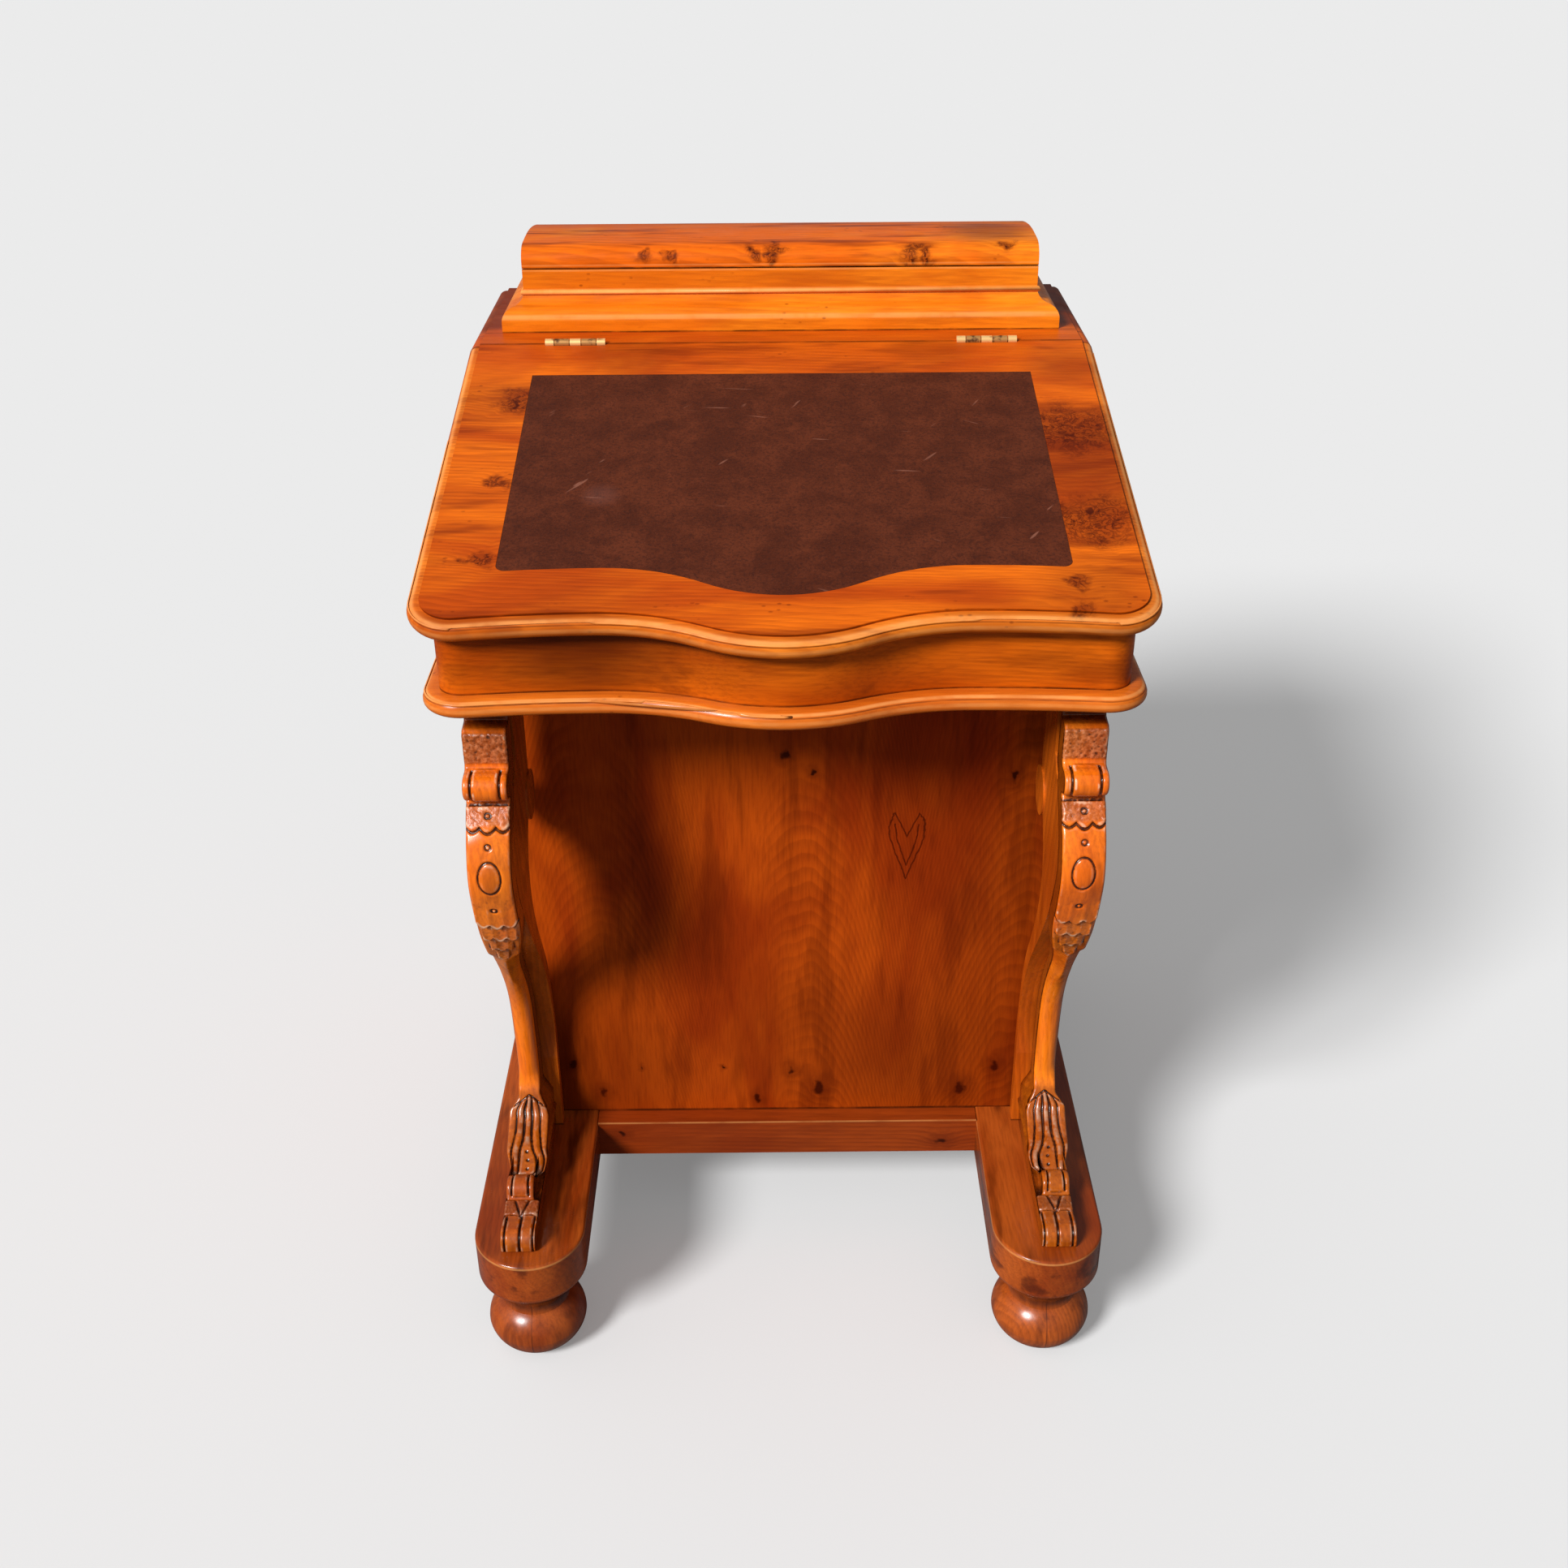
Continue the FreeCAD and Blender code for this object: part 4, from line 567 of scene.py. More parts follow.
def make_finishes():
    """One material for each kind of surface, by a short name."""
    lid = (linear(118, 36, 3), linear(188, 72, 6), linear(232, 110, 14))
    stationery = (linear(126, 44, 5), linear(228, 101, 12), linear(250, 136, 24))
    box = (linear(156, 62, 8), linear(224, 110, 13), linear(248, 146, 28))
    bead = (linear(140, 52, 8), linear(204, 96, 20), linear(232, 126, 34))
    frieze = (linear(96, 30, 2), linear(176, 70, 4), linear(220, 104, 12))
    panel = (linear(88, 22, 3), linear(144, 47, 6), linear(184, 74, 10))
    carved = (linear(106, 35, 3), linear(228, 102, 13), linear(250, 132, 25))
    rail = (linear(84, 24, 5), linear(134, 48, 9), linear(158, 66, 16))
    web = (linear(88, 28, 3), linear(180, 76, 10), linear(212, 102, 18))
    dark = (linear(66, 20, 4), linear(134, 50, 9), linear(178, 84, 26))
    pale, shade = linear(184, 122, 68), linear(126, 74, 36)
    return {
        "top": wood("veneer_top", "X", (0.1, 1.0, 0.4), stationery, 150.0, 0.05, 0.32, mottle=0.9,
                    burrs=TOP_BURRS, pips=0.8, marks=STATIONERY_LID_MARKS, bars=0.8, shine=0.12,
                    patches=STATIONERY_PATCHES),
        "box": wood("veneer_box", "X", (0.05, 0.5, 1.0), box, 190.0, 0.02, 0.2, pips=0.6,
                    marks=BOX_MARKS, bars=0.4, shine=0.18, gloss=0.26),
        "flat": wood("veneer_flat", "X", (0.1, 1.0, 0.2), lid, 200.0, 0.03, 0.3,
                     patches=TOP_PATCHES, marks=TOP_MARKS, shine=0.15),
        "lid": wood("veneer_lid", "X", (0.05, 1.0, 0.2), lid, 190.0, 0.05, 0.28,
                    burrs=LID_BURRS, pips=0.5, bead_tones=bead, bars=0.6, mottle=0.95,
                    shine=0.10, patches=LID_PATCHES, marks=LID_MARKS),
        "frieze": wood("veneer_frieze", "X", (0.05, 0.4, 1.0), frieze, 260.0, 0.02, 0.25,
                       patches=FRIEZE_PAINTED_SHADE, marks=FRIEZE_MARKS, bars=0.4, mottle=0.9),
        "moulding": wood("moulding_wood", "X", (0.05, 0.5, 1.0), bead, 200.0, 0.02, 0.25,
                         pips=0.6, marks=MOULDING_MARKS, shine=0.25, gloss=0.26),
        "panel": wood("veneer_panel", "Z", (1.0, 0.1, 0.0), panel, 170.0, 0.034, 0.24,
                      knots=PANEL_KNOTS, arches=(0.019, 0.186, 0.40, 14.0),
                      heart=HEART_PLACE, patches=PANEL_PATCHES, marks=PANEL_MARKS,
                      mottle=0.9, shine=0.05, faint=0.0, bars=0.4),
        "side": wood("veneer_side", "Z", (0.2, 1.0, 0.0), panel, 170.0, 0.03, 0.4),
        "rail": wood("rail_wood", "X", (0.0, 0.5, 1.0), rail, 200.0, 0.02, 0.3,
                     knots=RAIL_KNOTS, marks=RAIL_MARKS, shine=0.2),
        "drawer": wood("veneer_drawer", "Y", (0.1, 0.1, 1.0), lid, 190.0, 0.03, 0.3, pips=0.5),
        "web": wood("carved_wood", "Z", (1.0, 0.35, 0.1), web, 180.0, 0.02, 0.3,
                    marks=WEB_MARKS, pips=0.3, mottle=0.9, shine=0.25, gloss=0.28),
        "carved": wood("carved_wood_deep", "Z", (1.0, 0.35, 0.1), carved, 180.0, 0.02, 0.2,
                       pips=0.3, carved=True, shine=0.5, gloss=0.22, bars=0.4, mottle=0.9),
        "dark_y": wood("dark_wood_y", "Y", (1.0, 0.1, 0.4), dark, 190.0, 0.05, 0.16,
                       marks=RUNNER_MARKS, mottle=0.9, bars=0.7, shine=0.35, gloss=0.2),
        "dark_x": wood("dark_wood_x", "X", (0.1, 0.5, 1.0), dark, 190.0, 0.02, 0.3,
                       shine=0.3, gloss=0.22),
        "dark_z": wood("dark_wood_z", "Z", (1.0, 0.6, 0.1), dark, 190.0, 0.03, 0.25,
                       marks=FOOT_MARKS, mottle=0.9, bars=0.5, shine=0.5, gloss=0.27),
        "lining_y": plain_wood("lining_y", "Y", pale, shade),
        "lining_x": plain_wood("lining_x", "X", pale, shade),
        "leather": leather_material(),
        "brass": brass_material("brass", linear(255, 208, 138), linear(176, 122, 66)),
        "brass_dull": brass_material("brass_dull", linear(196, 142, 82), linear(92, 56, 26)),
    }


# which nodes show each finish, by how their names start; the first one that fits counts
NODE_FINISH = {
    "brass_dull": ("lid_hinge_fixed",),
    "brass": ("stationery_hinge", "lid_hinge", "hinge"),
    "top": ("stationery_lid",),
    "box": ("stationery",),
    "flat": ("top_board",),
    "lid": ("lid_board",),
    "leather": ("leather",),
    "frieze": ("frieze", "box_side", "box_back"),
    "moulding": ("lower_moulding",),
    "lining_x": ("box_floor", "drawer_guides"),
    "panel": ("front_panel",),
    "side": ("back_panel", "left_panel", "left_frame", "right_stiles", "pedestal_floor"),
    "drawer": ("drawer_dividers", "dummy_fronts"),
    "dark_x": ("dummy_knobs",),
    "rail": ("base_rail",),
    "web": ("bracket_web", "scroll_leg"),
    "dark_y": ("runner",),
    "dark_z": ("foot",),
}
DRAWER_FINISH = {"front": "drawer", "sides": "lining_x", "bottom": "lining_y", "knobs": "dark_x"}


def finish_of(node):
    """The name of the finish that a node shows."""
    if node[:7] == "drawer_" and node[7].isdigit():
        return DRAWER_FINISH[node.rsplit("_", 1)[1]]
    return next(finish for finish, starts in NODE_FINISH.items() if node.startswith(starts))


def dress_nodes(finishes):
    for name, node in nodes.items():
        node.data.materials.clear()
        node.data.materials.append(finishes[finish_of(name)])


# ---- carved scroll legs
# The leg stands in front of the pedestal's panel on a runner.  Points are
# (reach forward from the panel, height above the runner), in millimetres.
PANEL_Y = node_box("front_panel")[0][1]
RUNNER_TOP = node_box("runner_right")[1][2]
LEG_INSET = 1.0
LEG_OUTER = node_box("scroll_leg_right")[1][0] - LEG_INSET
LEG_WIDTH = 34.0
STEM_WIDTH = 19.5
TOE_WIDTH = 30.0
TOE_ROLL_WIDTH = 24.0
LEAF_WIDTH = 36.0
LEAF_SHIFT = 8.5
TOE_SHIFT = 3.0
LEG_DEPTH = 22.0
LEG_BACK_FOOT = 20.0
WAIST = (42.0, 81.0)
KNEE = (162.0, 360.0)
NECK = (136.0, 417.0)
WAIST_TO_KNEE = ((0.07, 0.29), (0.28, 0.47), (0.61, 0.66), (0.82, 0.80))
KNEE_TO_NECK = (0.3, 0.58)
ROLL = (133.5, 435.0)
ROLL_RADIUS = 10.5
TOE_ROLL = (125.0, 19.0)
TOE_ROLL_RADIUS = 11.0
BLOCK_REACH = 124.0
BLOCK_TOP = 474.0
NECK_REACH = 108.0
LEG_TOP = node_box("scroll_leg_right")[1][2] - RUNNER_TOP
# the grid: its step down the front, its columns, how they crowd to the edges, and where
# those of a side lie between the front's edge and the back
STEP = 0.8
COLUMNS = 53
CROWDING = 1.25
SIDE_STEPS = (0.12, 0.4, 0.75, 1.0)
# how rough punched grounds are, the reach of the blur that levels the carving, and how far
# from that level a full cut or crest is
FROST_DEPTH = 0.55
LEVEL_REACH = 4
FULL_CUT = 0.8


def shares(low, high, share):
    return tuple(a + (b - a) * part for a, b, part in zip(low, high, share))


def smooth_through(points, per_mm=2.0):
    """A smooth line through points (Catmull-Rom, spaced by the root of the distance)."""
    spots = [np.array(p, float) for p in points]
    spots = [2 * spots[0] - spots[1], *spots, 2 * spots[-1] - spots[-2]]
    line = []
    for a, b, c, d in zip(spots, spots[1:], spots[2:], spots[3:]):
        times = [0.0]
        for start, end in ((a, b), (b, c), (c, d)):
            times.append(times[-1] + max(np.linalg.norm(end - start), 1e-6) ** 0.5)
        t0, t1, t2, t3 = times
        count = max(2, int(np.linalg.norm(c - b) * per_mm))
        for t in np.linspace(t1, t2, count, endpoint=False):
            a1 = a + (b - a) * (t - t0) / (t1 - t0)
            a2 = b + (c - b) * (t - t1) / (t2 - t1)
            a3 = c + (d - c) * (t - t2) / (t3 - t2)
            b1 = a1 + (a2 - a1) * (t - t0) / (t2 - t0)
            b2 = a2 + (a3 - a2) * (t - t1) / (t3 - t1)
            line.append(b1 + (b2 - b1) * (t - t1) / (t2 - t1))
    line.append(spots[-2])
    return [tuple(p) for p in line]


def arc(centre, radius, start, end, count=24):
    """Points round a centre, by angles in degrees: 0 is forward and 90 is up."""
    turns = np.radians(np.linspace(start, end, count))
    return [(centre[0] + radius * math.cos(t), centre[1] + radius * math.sin(t)) for t in turns]


def even_steps(points, step):
    """The same line with points at even steps, and the length up to each."""
    line = np.array(points, float)
    run = np.concatenate([[0.0], np.cumsum(np.linalg.norm(np.diff(line, axis=0), axis=1))])
    keep = np.concatenate([[True], np.diff(run) > 1e-9])
    line, run = line[keep], run[keep]
    count = int(round(run[-1] / step)) + 1
    lengths = np.linspace(0.0, run[-1], count)
    even = np.stack([np.interp(lengths, run, line[:, i]) for i in range(2)], axis=1)
    return even, lengths


def leg_line():
    """The leg's front, seen from the side, from under the toe up to the box."""
    stem = [WAIST]
    stem += [shares(WAIST, KNEE, part) for part in WAIST_TO_KNEE]
    stem += [KNEE, shares(KNEE, NECK, KNEE_TO_NECK), NECK]
    toe = [(184.0, 0.0), (186.0, 2.5)]
    toe += arc((173.0, 6.0), 13.0, 0, 80, 16)
    toe += [(166.0, 18.4), (158.5, 17.0), (157.0, 15.6), (155.5, 17.6), (142.0, 19.2)]
    toe += [(138.4, 17.6)]
    toe += arc(TOE_ROLL, TOE_ROLL_RADIUS, 12, 168)
    toe += [(112.4, 19.4)]
    leaf = smooth_through([(109.0, 22.5), (76.0, 33.0), (58.0, 45.0), (49.5, 57.0)])
    line = toe + leaf + smooth_through([(46.6, 62.5), (43.6, 68.0), (42.2, 75.0)] + stem)
    line += [(131.6, 423.0)]
    line += arc(ROLL, ROLL_RADIUS, -58, 105)
    line += [(127.0, 445.6), (125.0, 446.4), (BLOCK_REACH, 448.5), (BLOCK_REACH, BLOCK_TOP)]
    line += [(BLOCK_REACH - 4.0, BLOCK_TOP + 4.0), (NECK_REACH, BLOCK_TOP + 5.0)]
    line += [(NECK_REACH, LEG_TOP)]
    return even_steps(line, STEP)


def bell(distance, width):
    return np.exp(-((distance / width) ** 2))


def ramp_up(value, low, high):
    share = np.clip((value - low) / (high - low), 0.0, 1.0)
    return share * share * (3 - 2 * share)


def between(value, low, high, soft):
    return ramp_up(value, low, low + soft) * (1 - ramp_up(value, high - soft, high))


def leg_width(reach, height):
    """The leg's width: full at leaf and knee, slim at the waist and at the toe's roll."""
    slim = ramp_up(height, 44.0, 62.0) * (1 - ramp_up(height, 215.0, 315.0))
    width = LEG_WIDTH - (LEG_WIDTH - STEM_WIDTH) * slim
    low = 1 - ramp_up(height, 48.0, 58.0)
    width += (LEAF_WIDTH - LEG_WIDTH) * low
    toe = ramp_up(reach, 92.0, 112.0) * low
    width += (TOE_WIDTH - LEAF_WIDTH) * toe
    return width + (TOE_ROLL_WIDTH - TOE_WIDTH) * between(reach, 108.0, 142.0, 5.0) * low


def outer_shift(reach, height):
    """How far the leaf and the toe spread out beyond the stem's outer side."""
    low = 1 - ramp_up(height, 46.0, 60.0)
    return low * (LEAF_SHIFT + (TOE_SHIFT - LEAF_SHIFT) * ramp_up(reach, 84.0, 110.0))


def groove(away, width, depth):
    """A cut with soft sides, by the distance from its middle."""
    return -depth * bell(away, width)


def dimple(run, side, at_run, radius):
    """A punched dot on the middle line: a ring cut round a small bead."""
    away = np.hypot(run - at_run, side)
    return groove(away - radius, radius * 0.45, 1.3) + 0.5 * bell(away, radius * 0.6)


def round_over(share, side, half, stem):
    """Crisp edges on block and toe, and a full round front on the stem."""
    full = 1 - np.sqrt(1 - np.clip(np.abs(share), 0, 0.985) ** 2)
    near_edge = np.clip((np.abs(side) - half + 2.4) / 2.4, 0.0, 0.995)
    crisp = 1 - np.sqrt(1 - near_edge**2)
    return -2.0 * crisp * (1 - stem) - 9.0 * full * stem


def small_leaf(run, side, share, low, high):
    """Under the roll: three lobes with a punched dot over the middle one."""
    lip = low + 2.6 - 4.2 * np.abs(np.cos(share * math.pi * 1.35)) + 3.0 * share**2
    body = between(run, low - 8, high + 1, 1.0) * ramp_up(run, lip - 0.5, lip + 0.8) * 1.5
    under = groove(run - lip + 1.4, 1.2, 1.5) * (np.abs(share) < 0.96)
    return body + under + dimple(run, side, (low + high) / 2 + 2.0, 2.2)


def scallops(run, share, lip, waves, reach, length, proud):
    """One row of overlapping leaf tips, thick at the lips and thinning upward."""
    edge = lip - 6.0 * np.abs(np.cos(share / reach * math.pi * waves / 2)) + 4.0 * share**2
    inside = 1 - ramp_up(np.abs(share), reach - 0.05, reach + 0.05)
    up = np.clip((run - edge) / length, 0.0, 1.0)
    body = proud * (1 - up) * ramp_up(run, edge - 0.6, edge + 0.6)
    return inside * (body + groove(run - edge + 1.2, 1.1, 2.0))


def toe_leaf(run, side, share, foot, top):
    """Fluted leaf on the toe: five ridges that spread round a field with three dots."""
    up = np.clip((run - foot) / (top - foot), 0.0, 1.0)
    inner = 0.52 - 0.33 * ramp_up(up, 0.05, 0.6)
    outer = 0.90 - 0.30 * ramp_up(up, 0.05, 0.7)
    away = np.abs(share)
    cap = top + 4.0 - 11.0 * away**1.4
    within = between(run, foot, top + 8.0, 0.8) * ramp_up(cap - run, -0.5, 1.5)
    cuts = groove(away - inner, 0.046, 2.2) + groove(away - outer, 0.042, 1.9)
    ridges = bell(away - (inner + outer) / 2, 0.12)
    ridges += bell(away, 0.12) * ramp_up(up, 0.3, 0.6)
    rim = groove(cap - run, 1.0, 1.4) * (away < 0.9)
    out = within * (1.3 + cuts + ridges) + rim
    for place in (0.09, 0.21, 0.33):
        out += groove(np.hypot(run - foot - place * (top - foot), side), 1.3, 1.8)
    return out + groove(run - foot, 1.3, 1.6)


def toe_front(run, share, toe):
    """Roll, pointed leaf and claws, with toe(reach) as the length up the front."""
    on_roll = between(run, toe(137), toe(112), 1.6)
    rise = np.clip((run - toe(137)) / (toe(112) - toe(137)), 0.0, 1.0)
    out = groove(np.abs(share) - 0.64 + 0.14 * rise, 0.055, 2.4) * on_roll
    out += 0.8 * (np.abs(share) < 0.5) * on_roll
    on_leaf = between(run, toe(159), toe(141), 0.8)
    fall = np.clip((toe(141) - run) / (toe(141) - toe(158)), 0.0, 1.0)
    point = 0.42 * (1 - fall)
    out += on_leaf * (0.9 + groove(np.abs(share) - point, 0.07, 1.9))
    out += groove(run - toe(158) - 1.5 * np.abs(np.sin(share * math.pi)), 1.0, 1.4)
    on_claw = 1 - ramp_up(run, toe(160), toe(157))
    for middle in (-0.10, 0.76, -0.86):
        out += on_claw * groove(share - middle, 0.058, 2.6)
    return out


# the hanging leaf below the oval: height, share of the width, waves, length and how proud
LEAF_ROWS = (
    (318.0, 1.00, 3.0, 24.0, 2.8),
    (299.0, 0.84, 2.6, 20.0, 2.5),
    (281.0, 0.60, 2.0, 20.0, 2.2),
    (262.0, 0.36, 1.0, 18.0, 1.9),
)


def carving(run, side, half, run_at):
    """How far the carved front stands out, for length up the leg and place across.

    run_at gives the length up the leg at a height, or at a reach on the toe.
    """
    share = side / half
    stem = between(run, run_at(61), run_at(268), 22.0)
    out = round_over(share, side, half, stem)
    knee = between(run, run_at(300), run_at(420), 30.0)
    out -= 1.5 * knee * share**2
    roll = between(run, run_at(424.5, "roll"), run_at(446, "roll"), 1.6)
    out += roll * (groove(np.abs(share) - 0.64, 0.06, 2.4) + 0.8 * (np.abs(share) < 0.62))
    out += small_leaf(run, side, share, run_at(404), run_at(418))
    oval = np.hypot((run - run_at(368.5)) / 14.0, side / 8.8)
    out += groove(oval - 1.0, 0.075, 1.4) + 1.1 * np.clip(1 - oval**2, 0.0, 1.0)
    for height in (393, 335):
        out += dimple(run, side, run_at(height), 2.1)
    for height, reach, waves, length, proud in LEAF_ROWS:
        out += scallops(run, share, run_at(height), waves, reach, length, proud)
    tip = run_at(246)
    out += 1.2 * bell(side, 2.6) * between(run, tip - 60, tip + 20, 18.0)
    out += toe_leaf(run, side, share, run_at(112, "toe"), run_at(56, "leaf"))
    return out + toe_front(run, share, lambda reach: run_at(reach, "toe"))


def leg_measure(line, lengths):
    """A function that gives the length up the front at a value on one of its stretches.

    The value is a height on the stem, the roll and the toe's leaf, and a reach on the toe.
    """
    reach, height = line[:, 0], line[:, 1]
    stretches = {
        "height": (height > 63.0) & (lengths < lengths[-1] - 85.0),
        "roll": height > 418.0,
        "leaf": (height > 20.0) & (height < 58.0) & (reach < 112.0),
        "toe": (height < 31.0) & (reach > 111.0),
    }

    def measure(value, stretch="height"):
        rows = np.where(stretches[stretch])[0]
        if stretch == "toe":
            rows = rows[::-1]
            return float(np.interp(value, reach[rows], lengths[rows]))
        return float(np.interp(value, height[rows], lengths[rows]))

    return measure


def grid_faces(rows, columns, flip):
    index = np.arange(rows * columns).reshape(rows, columns)
    a, b = index[:-1, :-1], index[:-1, 1:]
    c, d = index[1:, 1:], index[1:, :-1]
    order = (a, d, c, b) if flip else (a, b, c, d)
    return np.stack(order, axis=-1).reshape(-1, 4)


def mesh_object(name, points, faces, material, smooth=True):
    """A mesh from points in metres, already in the desk's frame."""
    mesh = bpy.data.meshes.new(name)
    mesh.from_pydata([tuple(p) for p in points], [], [tuple(int(i) for i in f) for f in faces])
    mesh.materials.append(material)
    mesh.validate()
    mesh.update()
    if smooth:
        mesh.polygons.foreach_set("use_smooth", [True] * len(mesh.polygons))
    piece = bpy.data.objects.new(name, mesh)
    scene.collection.objects.link(piece)
    return piece


def blurred(grid, reach):
    """The grid averaged over a square of neighbours."""
    padded = np.pad(grid, reach, mode="edge")
    total = np.zeros_like(grid)
    for row in range(2 * reach + 1):
        for column in range(2 * reach + 1):
            total += padded[row : row + grid.shape[0], column : column + grid.shape[1]]
    return total / (2 * reach + 1) ** 2


def store_mask(piece, name, mask, aside):
    """Keeps a 0 to 1 mask of the carved front on the mesh, and one value for its sides."""
    sides = ((0, 0), (len(SIDE_STEPS), len(SIDE_STEPS)))
    padded = np.pad(np.clip(mask, 0.0, 1.0), sides, constant_values=aside)
    attribute = piece.data.attributes.new(name, "FLOAT", "POINT")
    attribute.data.foreach_set("value", padded.astype(np.float32).ravel())


def frosting(run, share, run_at):
    """Where the carver left a rough, punched ground."""
    block = between(run, run_at(449, "roll"), run_at(476, "roll"), 2.0)
    leaf = between(run, run_at(405), run_at(422, "roll"), 4.0)
    low, high = run_at(256), run_at(318)
    taper = 0.30 + 0.70 * np.clip((run - low) / (high - low), 0.0, 1.0)
    rows = between(run, low, high + 3.0, 8.0) * (1 - ramp_up(np.abs(share), taper - 0.1, taper))
    tip = between(run, run_at(159, "toe"), run_at(141, "toe"), 3.0)
    return 1.0 * block + 0.75 * leaf + 0.35 * rows + 0.75 * tip


def darkened_toe_and_neck(run, run_at):
    """Where the wood is darker: the stained toe, and a painted shadow of the moulding over the
    neck.
    """
    toe = 1 - ramp_up(run, run_at(64, "leaf"), run_at(64) + 8.0)
    # painted shadow: the neck under the moulding is darkened as its shadow
    top = ramp_up(run, run_at(468, "roll"), run_at(479, "roll"))
    return 0.62 * toe + 0.9 * top


def back_of(reach, height):
    """Where the leg's back is, behind a point of its front."""
    above = ramp_up(height, 78.0, 84.0)
    back = LEG_BACK_FOOT + above * (reach - LEG_DEPTH - LEG_BACK_FOOT)
    upper = ramp_up(height, 417.0, 440.0)
    return back + upper * (BLOCK_REACH - LEG_DEPTH - back)


def side_column(edge, back, step):
    """One column of a side, part of the way from the front's edge to the back."""
    (x, reach, height), (back_x, back_reach, back_height) = edge, back
    return (
        x + (back_x - x) * math.sqrt(step),
        reach * (1 - step) + back_reach * step,
        height * (1 - step) + back_height * step,
    )


def with_sides(front, line):
    """The front's grids with both sides, which run back to the plane of the stem's side."""
    back = (back_of(line[:, :1], line[:, 1:]), np.maximum(line[:, 1:], 0.0))
    inner = [grid[:, :1] for grid in front]
    outer = [grid[:, -1:] for grid in front]
    inner_back = (inner[0], *back)
    outer_back = (np.minimum(outer[0], LEG_OUTER), *back)
    columns = [side_column(inner, inner_back, step) for step in reversed(SIDE_STEPS)]
    columns += [front]
    columns += [side_column(outer, outer_back, step) for step in SIDE_STEPS]
    return [np.concatenate(grids, axis=1) for grids in zip(*columns)]


def closed_faces(rows, columns, flip):
    """A grid's faces, with a strip down its open back and a face at each end."""
    faces = grid_faces(rows, columns, flip).tolist()
    for row in range(rows - 1):
        low, high = row * columns, (row + 1) * columns
        strip = [low, low + columns - 1, high + columns - 1, high]
        faces.append(strip if flip else strip[::-1])
    bottom = list(range(columns))
    top = [(rows - 1) * columns + i for i in bottom]
    faces.append(bottom if flip else bottom[::-1])
    faces.append(top[::-1] if flip else top)
    return faces


def make_leg(side, word, material):
    """The carved front scroll: a fine grid down its front, with sides and a back."""
    line, lengths = leg_line()
    run_at = leg_measure(line, lengths)
    slope = np.gradient(line, axis=0)
    slope /= np.linalg.norm(slope, axis=1)[:, None]
    half = leg_width(line[:, :1], line[:, 1:]) / 2
    across = np.linspace(-1.0, 1.0, COLUMNS)
    across = np.sign(across) * (1 - (1 - np.abs(across)) ** CROWDING)
    run_grid = np.repeat(lengths[:, None], COLUMNS, axis=1)
    side_grid = half * across
    frost = frosting(run_grid, side_grid / half, run_at)
    out = carving(run_grid, side_grid, half, run_at)
    out += frost * blurred(noise_source.normal(0.0, 1.0, out.shape), 1) * FROST_DEPTH
    reach = line[:, :1] + slope[:, 1:] * out
    height = np.clip(line[:, 1:] - slope[:, :1] * out, 0.0, LEG_TOP)
    x = LEG_OUTER + outer_shift(line[:, :1], line[:, 1:]) - half + side_grid
    x, reach, height = with_sides((x, reach, height), line)
    points = np.stack([side * x, PANEL_Y - reach, RUNNER_TOP + height], axis=-1)
    faces = closed_faces(*x.shape, side < 0)
    leg = mesh_object(f"carved_leg_{word}", points.reshape(-1, 3) * MM, faces, material)
    raised = (out - blurred(out, LEVEL_REACH)) / FULL_CUT
    # the value for the sides, 0.35 in hollow and in the darkening mask, is painted shade down the
    # leg's sides
    store_mask(leg, "hollow", -raised, 0.35)
    store_mask(leg, "crest", raised, 0.0)
    store_mask(leg, "frost", frost, 0.0)
    store_mask(leg, "stain_and_shade", darkened_toe_and_neck(run_grid, run_at), 0.35)
    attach(leg, "carcase")
    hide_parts(f"scroll_leg_{word}")


# ---- edges and small mouldings
SOFT_EDGED = (
    "runner_left", "runner_right", "base_rail_front", "base_rail_rear", "lid_board",
    "stationery_lid", "top_board", "box_side_left", "box_side_right",
)
EDGE_WIDTH = 1.2 * MM
EDGE_ANGLE = math.radians(40)


def soften_edges():
    """Worn arrises on the boards, as a small bevel that catches the light."""
    for name in SOFT_EDGED:
        bevel = nodes[name].modifiers.new("worn_edge", "BEVEL")
        bevel.width = EDGE_WIDTH
        bevel.segments = 2
        bevel.limit_method = "ANGLE"
        bevel.angle_limit = EDGE_ANGLE


# the bead round the stationery box, in millimetres
BOX_HALF, BOX_FRONT = node_box("stationery_lid")[1][0], node_box("stationery_lid")[0][1]
BOX_BACK = 310.0
BEAD_HEIGHT = 826.6
BEAD_RADIUS = 2.5
BEAD_POINTS = 10


def box_bead(material):
    """A thin half-round bead along the front and both ends of the stationery box."""
    path = [(-BOX_HALF, BOX_BACK), (-BOX_HALF, BOX_FRONT)]
    path += [(BOX_HALF, BOX_FRONT), (BOX_HALF, BOX_BACK)]
    outward = [(-1.0, 0.0), (-1.0, -1.0), (1.0, -1.0), (1.0, 0.0)]
    turns = np.linspace(-math.pi / 2, math.pi / 2, BEAD_POINTS)
    points = []
    for (x, y), (out_x, out_y) in zip(path, outward):
        for turn in turns:
            reach = BEAD_RADIUS * math.cos(turn)
            height = BEAD_HEIGHT + BEAD_RADIUS * math.sin(turn)
            points.append((x + out_x * reach, y + out_y * reach, height))
    faces = grid_faces(len(path), BEAD_POINTS, False)
    strip = mesh_object("box_bead_upper", np.array(points) * MM, faces, material)
    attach(strip, "carcase")


FILLET_RADIUS = 1.1 * MM
FILLET_POINTS = 8
# how far the fillets lie under the tops of lid and moulding, and the Y where they end
LID_FILLET_DROP = 4.8 * MM
LID_FILLET_END = 110.0 * MM
MOULDING_FILLET_DROP = 2.5 * MM
MOULDING_FILLET_END = 290.0 * MM


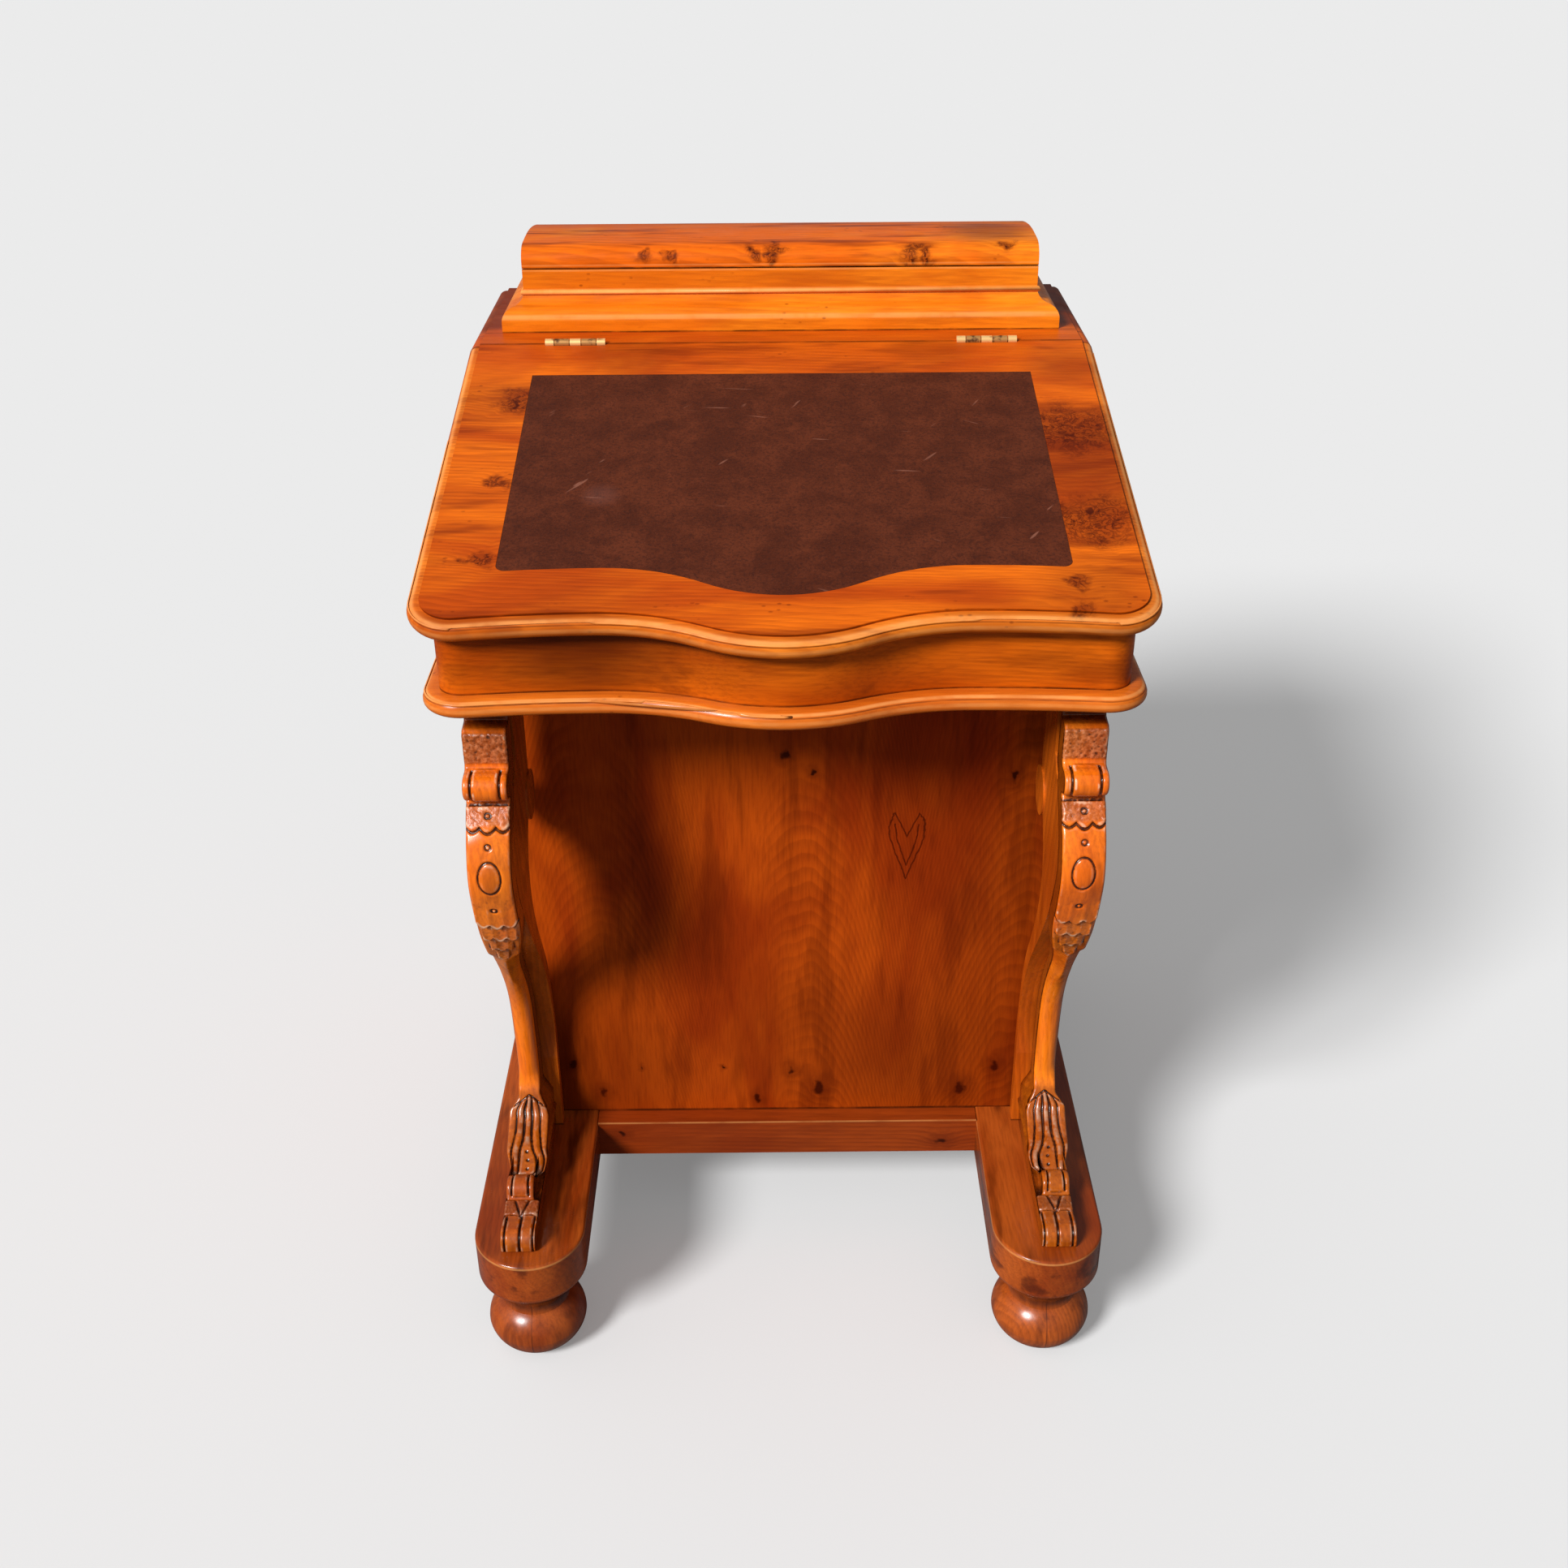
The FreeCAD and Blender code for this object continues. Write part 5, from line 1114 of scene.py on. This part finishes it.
def outline_of(node, point, normal):
    """The outer outline of a node where a plane cuts it, as points in order."""
    cut = bmesh.new()
    cut.from_mesh(nodes[node].data)
    cut.transform(nodes[node].matrix_world)
    parts = list(cut.verts) + list(cut.edges) + list(cut.faces)
    found = bmesh.ops.bisect_plane(cut, geom=parts, plane_co=point, plane_no=normal)["geom_cut"]
    joined = {}
    for edge in found:
        if isinstance(edge, bmesh.types.BMEdge):
            a, b = (tuple(round(value, 6) for value in end.co) for end in edge.verts)
            joined.setdefault(a, set()).add(b)
            joined.setdefault(b, set()).add(a)
    cut.free()
    start = min(joined, key=lambda spot: spot[1])
    loop, seen, here = [start], {start}, start
    while True:
        ahead = [spot for spot in sorted(joined[here]) if spot not in seen]
        if not ahead:
            return loop
        here = ahead[0]
        seen.add(here)
        loop.append(here)


def open_run(loop, back):
    """The longest stretch of a closed outline in front of a back line."""
    behind = [index for index, spot in enumerate(loop) if spot[1] > back]
    if behind:
        loop = loop[behind[0] :] + loop[: behind[0]]
    runs, run = [], []
    for spot in loop:
        if spot[1] > back:
            runs.append(run)
            run = []
        else:
            run.append(spot)
    runs.append(run)
    return max(runs, key=len)


def fillet_strip(node, body, word, point, normal, back, material):
    """A fine half-round fillet that follows a moulded edge."""
    path = [Vector(spot) for spot in open_run(outline_of(node, point, normal), back)]
    upward = Vector(normal).normalized()
    centre = sum(path, Vector()) / len(path)
    points = []
    for index, spot in enumerate(path):
        run = path[min(index + 1, len(path) - 1)] - path[max(index - 1, 0)]
        out = run.cross(upward).normalized()
        if out.dot(spot - centre) < 0:
            out.negate()
        for turn in np.linspace(-math.pi / 2, math.pi / 2, FILLET_POINTS):
            points.append(spot + (out * math.cos(turn) + upward * math.sin(turn)) * FILLET_RADIUS)
    faces = grid_faces(len(path), FILLET_POINTS, False)
    strip = mesh_object(f"fillet_{word}", points, faces, material)
    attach(strip, body)


def make_fillets(finishes):
    """The fillets under the edge of the writing lid and along the lower moulding."""
    on_lid = Vector(LID_BREAK) - Vector(LID_NORMAL) * LID_FILLET_DROP
    fillet_strip("lid_board", "writing_lid", "lid", on_lid, LID_NORMAL, LID_FILLET_END,
                 finishes["lid"])
    height = node_box("lower_moulding")[1][2] * MM - MOULDING_FILLET_DROP
    fillet_strip("lower_moulding", "carcase", "moulding", (0, 0, height), (0, 0, 1),
                 MOULDING_FILLET_END, finishes["moulding"])


# ---- stage, light, camera
# the tilt is in degrees, pan and roll are in radians
CAMERA_PLACE = (-0.0060, -1.3906, 1.2199)
CAMERA_TILT = 30.02
CAMERA_PAN = 0.0040
CAMERA_ROLL = 0.0065
CAMERA_LENS = 39.68
SENSOR = 36.0
KEY_FROM = (-0.69, -0.77, 0.76)
KEY_STRENGTH = 4.35
KEY_SOFTNESS = 16.0
FILL_BRIGHT = 0.42
FILL_DIM = 0.11
FILL_FROM = (-0.74, -0.45, 0.50)
FLOOR_HALF = 30.0
FLOOR_TONE = 225
FLOOR_EVEN = 0.24
FLOOR_BOUNCE = 110


def make_camera():
    """The photo's camera, placed, turned and rolled as it was solved."""
    tilt = math.radians(CAMERA_TILT)
    ahead = Vector((math.sin(CAMERA_PAN), math.cos(CAMERA_PAN), 0.0))
    forward = ahead * math.cos(tilt) - Vector((0.0, 0.0, math.sin(tilt)))
    right = Vector((ahead.y, -ahead.x, 0.0))
    down = forward.cross(right)
    turned_right = right * math.cos(CAMERA_ROLL) + down * math.sin(CAMERA_ROLL)
    turned_down = down * math.cos(CAMERA_ROLL) - right * math.sin(CAMERA_ROLL)
    turn = Matrix((turned_right, -turned_down, -forward)).transposed()
    lens = bpy.data.cameras.new("camera")
    lens.lens = CAMERA_LENS
    lens.sensor_width = SENSOR
    lens.clip_end = 100.0
    camera = bpy.data.objects.new("camera", lens)
    camera.matrix_world = Matrix.Translation(CAMERA_PLACE) @ turn.to_4x4()
    scene.collection.objects.link(camera)
    scene.camera = camera


def make_light():
    """A soft key from the upper left, and a sky that is brighter on that side."""
    lamp = bpy.data.lights.new("key", "SUN")
    lamp.energy = KEY_STRENGTH
    lamp.angle = math.radians(KEY_SOFTNESS)
    key = bpy.data.objects.new("key", lamp)
    key.rotation_mode = "QUATERNION"
    key.rotation_quaternion = Vector(KEY_FROM).to_track_quat("Z", "Y")
    scene.collection.objects.link(key)
    g = Graph(bpy.data.worlds.new("studio"))
    facing = g.dot(g.add("TexCoord", {}, out="Generated"), FILL_FROM)
    ends = {"From Min": -1.0, "From Max": 1.0, "To Min": FILL_DIM, "To Max": FILL_BRIGHT}
    strength = g.add("MapRange", {"Value": facing, **ends})
    sky = g.add("Background", {"Color": (1.0, 1.0, 1.0, 1.0), "Strength": strength})
    scene.world = g.end(sky, "World")
    scene.view_settings.view_transform = "Standard"


def make_floor():
    """A pale floor.  The camera sees part of its tone as even light, so shadows stay soft."""
    g = Graph(bpy.data.materials.new("floor"))
    seen = linear(FLOOR_TONE, FLOOR_TONE, FLOOR_TONE)
    lit = g.add("BsdfDiffuse", {"Color": seen})
    even = g.add("Emission", {"Color": seen, "Strength": 1.0})
    soft = g.add("MixShader", {0: FLOOR_EVEN, 1: lit, 2: even})
    plain = g.add("BsdfDiffuse", {"Color": linear(FLOOR_BOUNCE, FLOOR_BOUNCE, FLOOR_BOUNCE)})
    for_camera = g.add("LightPath", {})
    surface = g.add("MixShader", {0: for_camera, 1: plain, 2: soft})
    half = FLOOR_HALF
    corners = [(-half, -half, 0), (half, -half, 0), (half, half, 0), (-half, half, 0)]
    floor = mesh_object("floor", corners, [(0, 1, 2, 3)], g.end(surface), smooth=False)


make_camera()
make_light()
make_floor()
finishes = make_finishes()
dress_nodes(finishes)
make_leg(-1, "left", finishes["carved"])
make_leg(1, "right", finishes["carved"])
soften_edges()
box_bead(finishes["box"])
make_fillets(finishes)
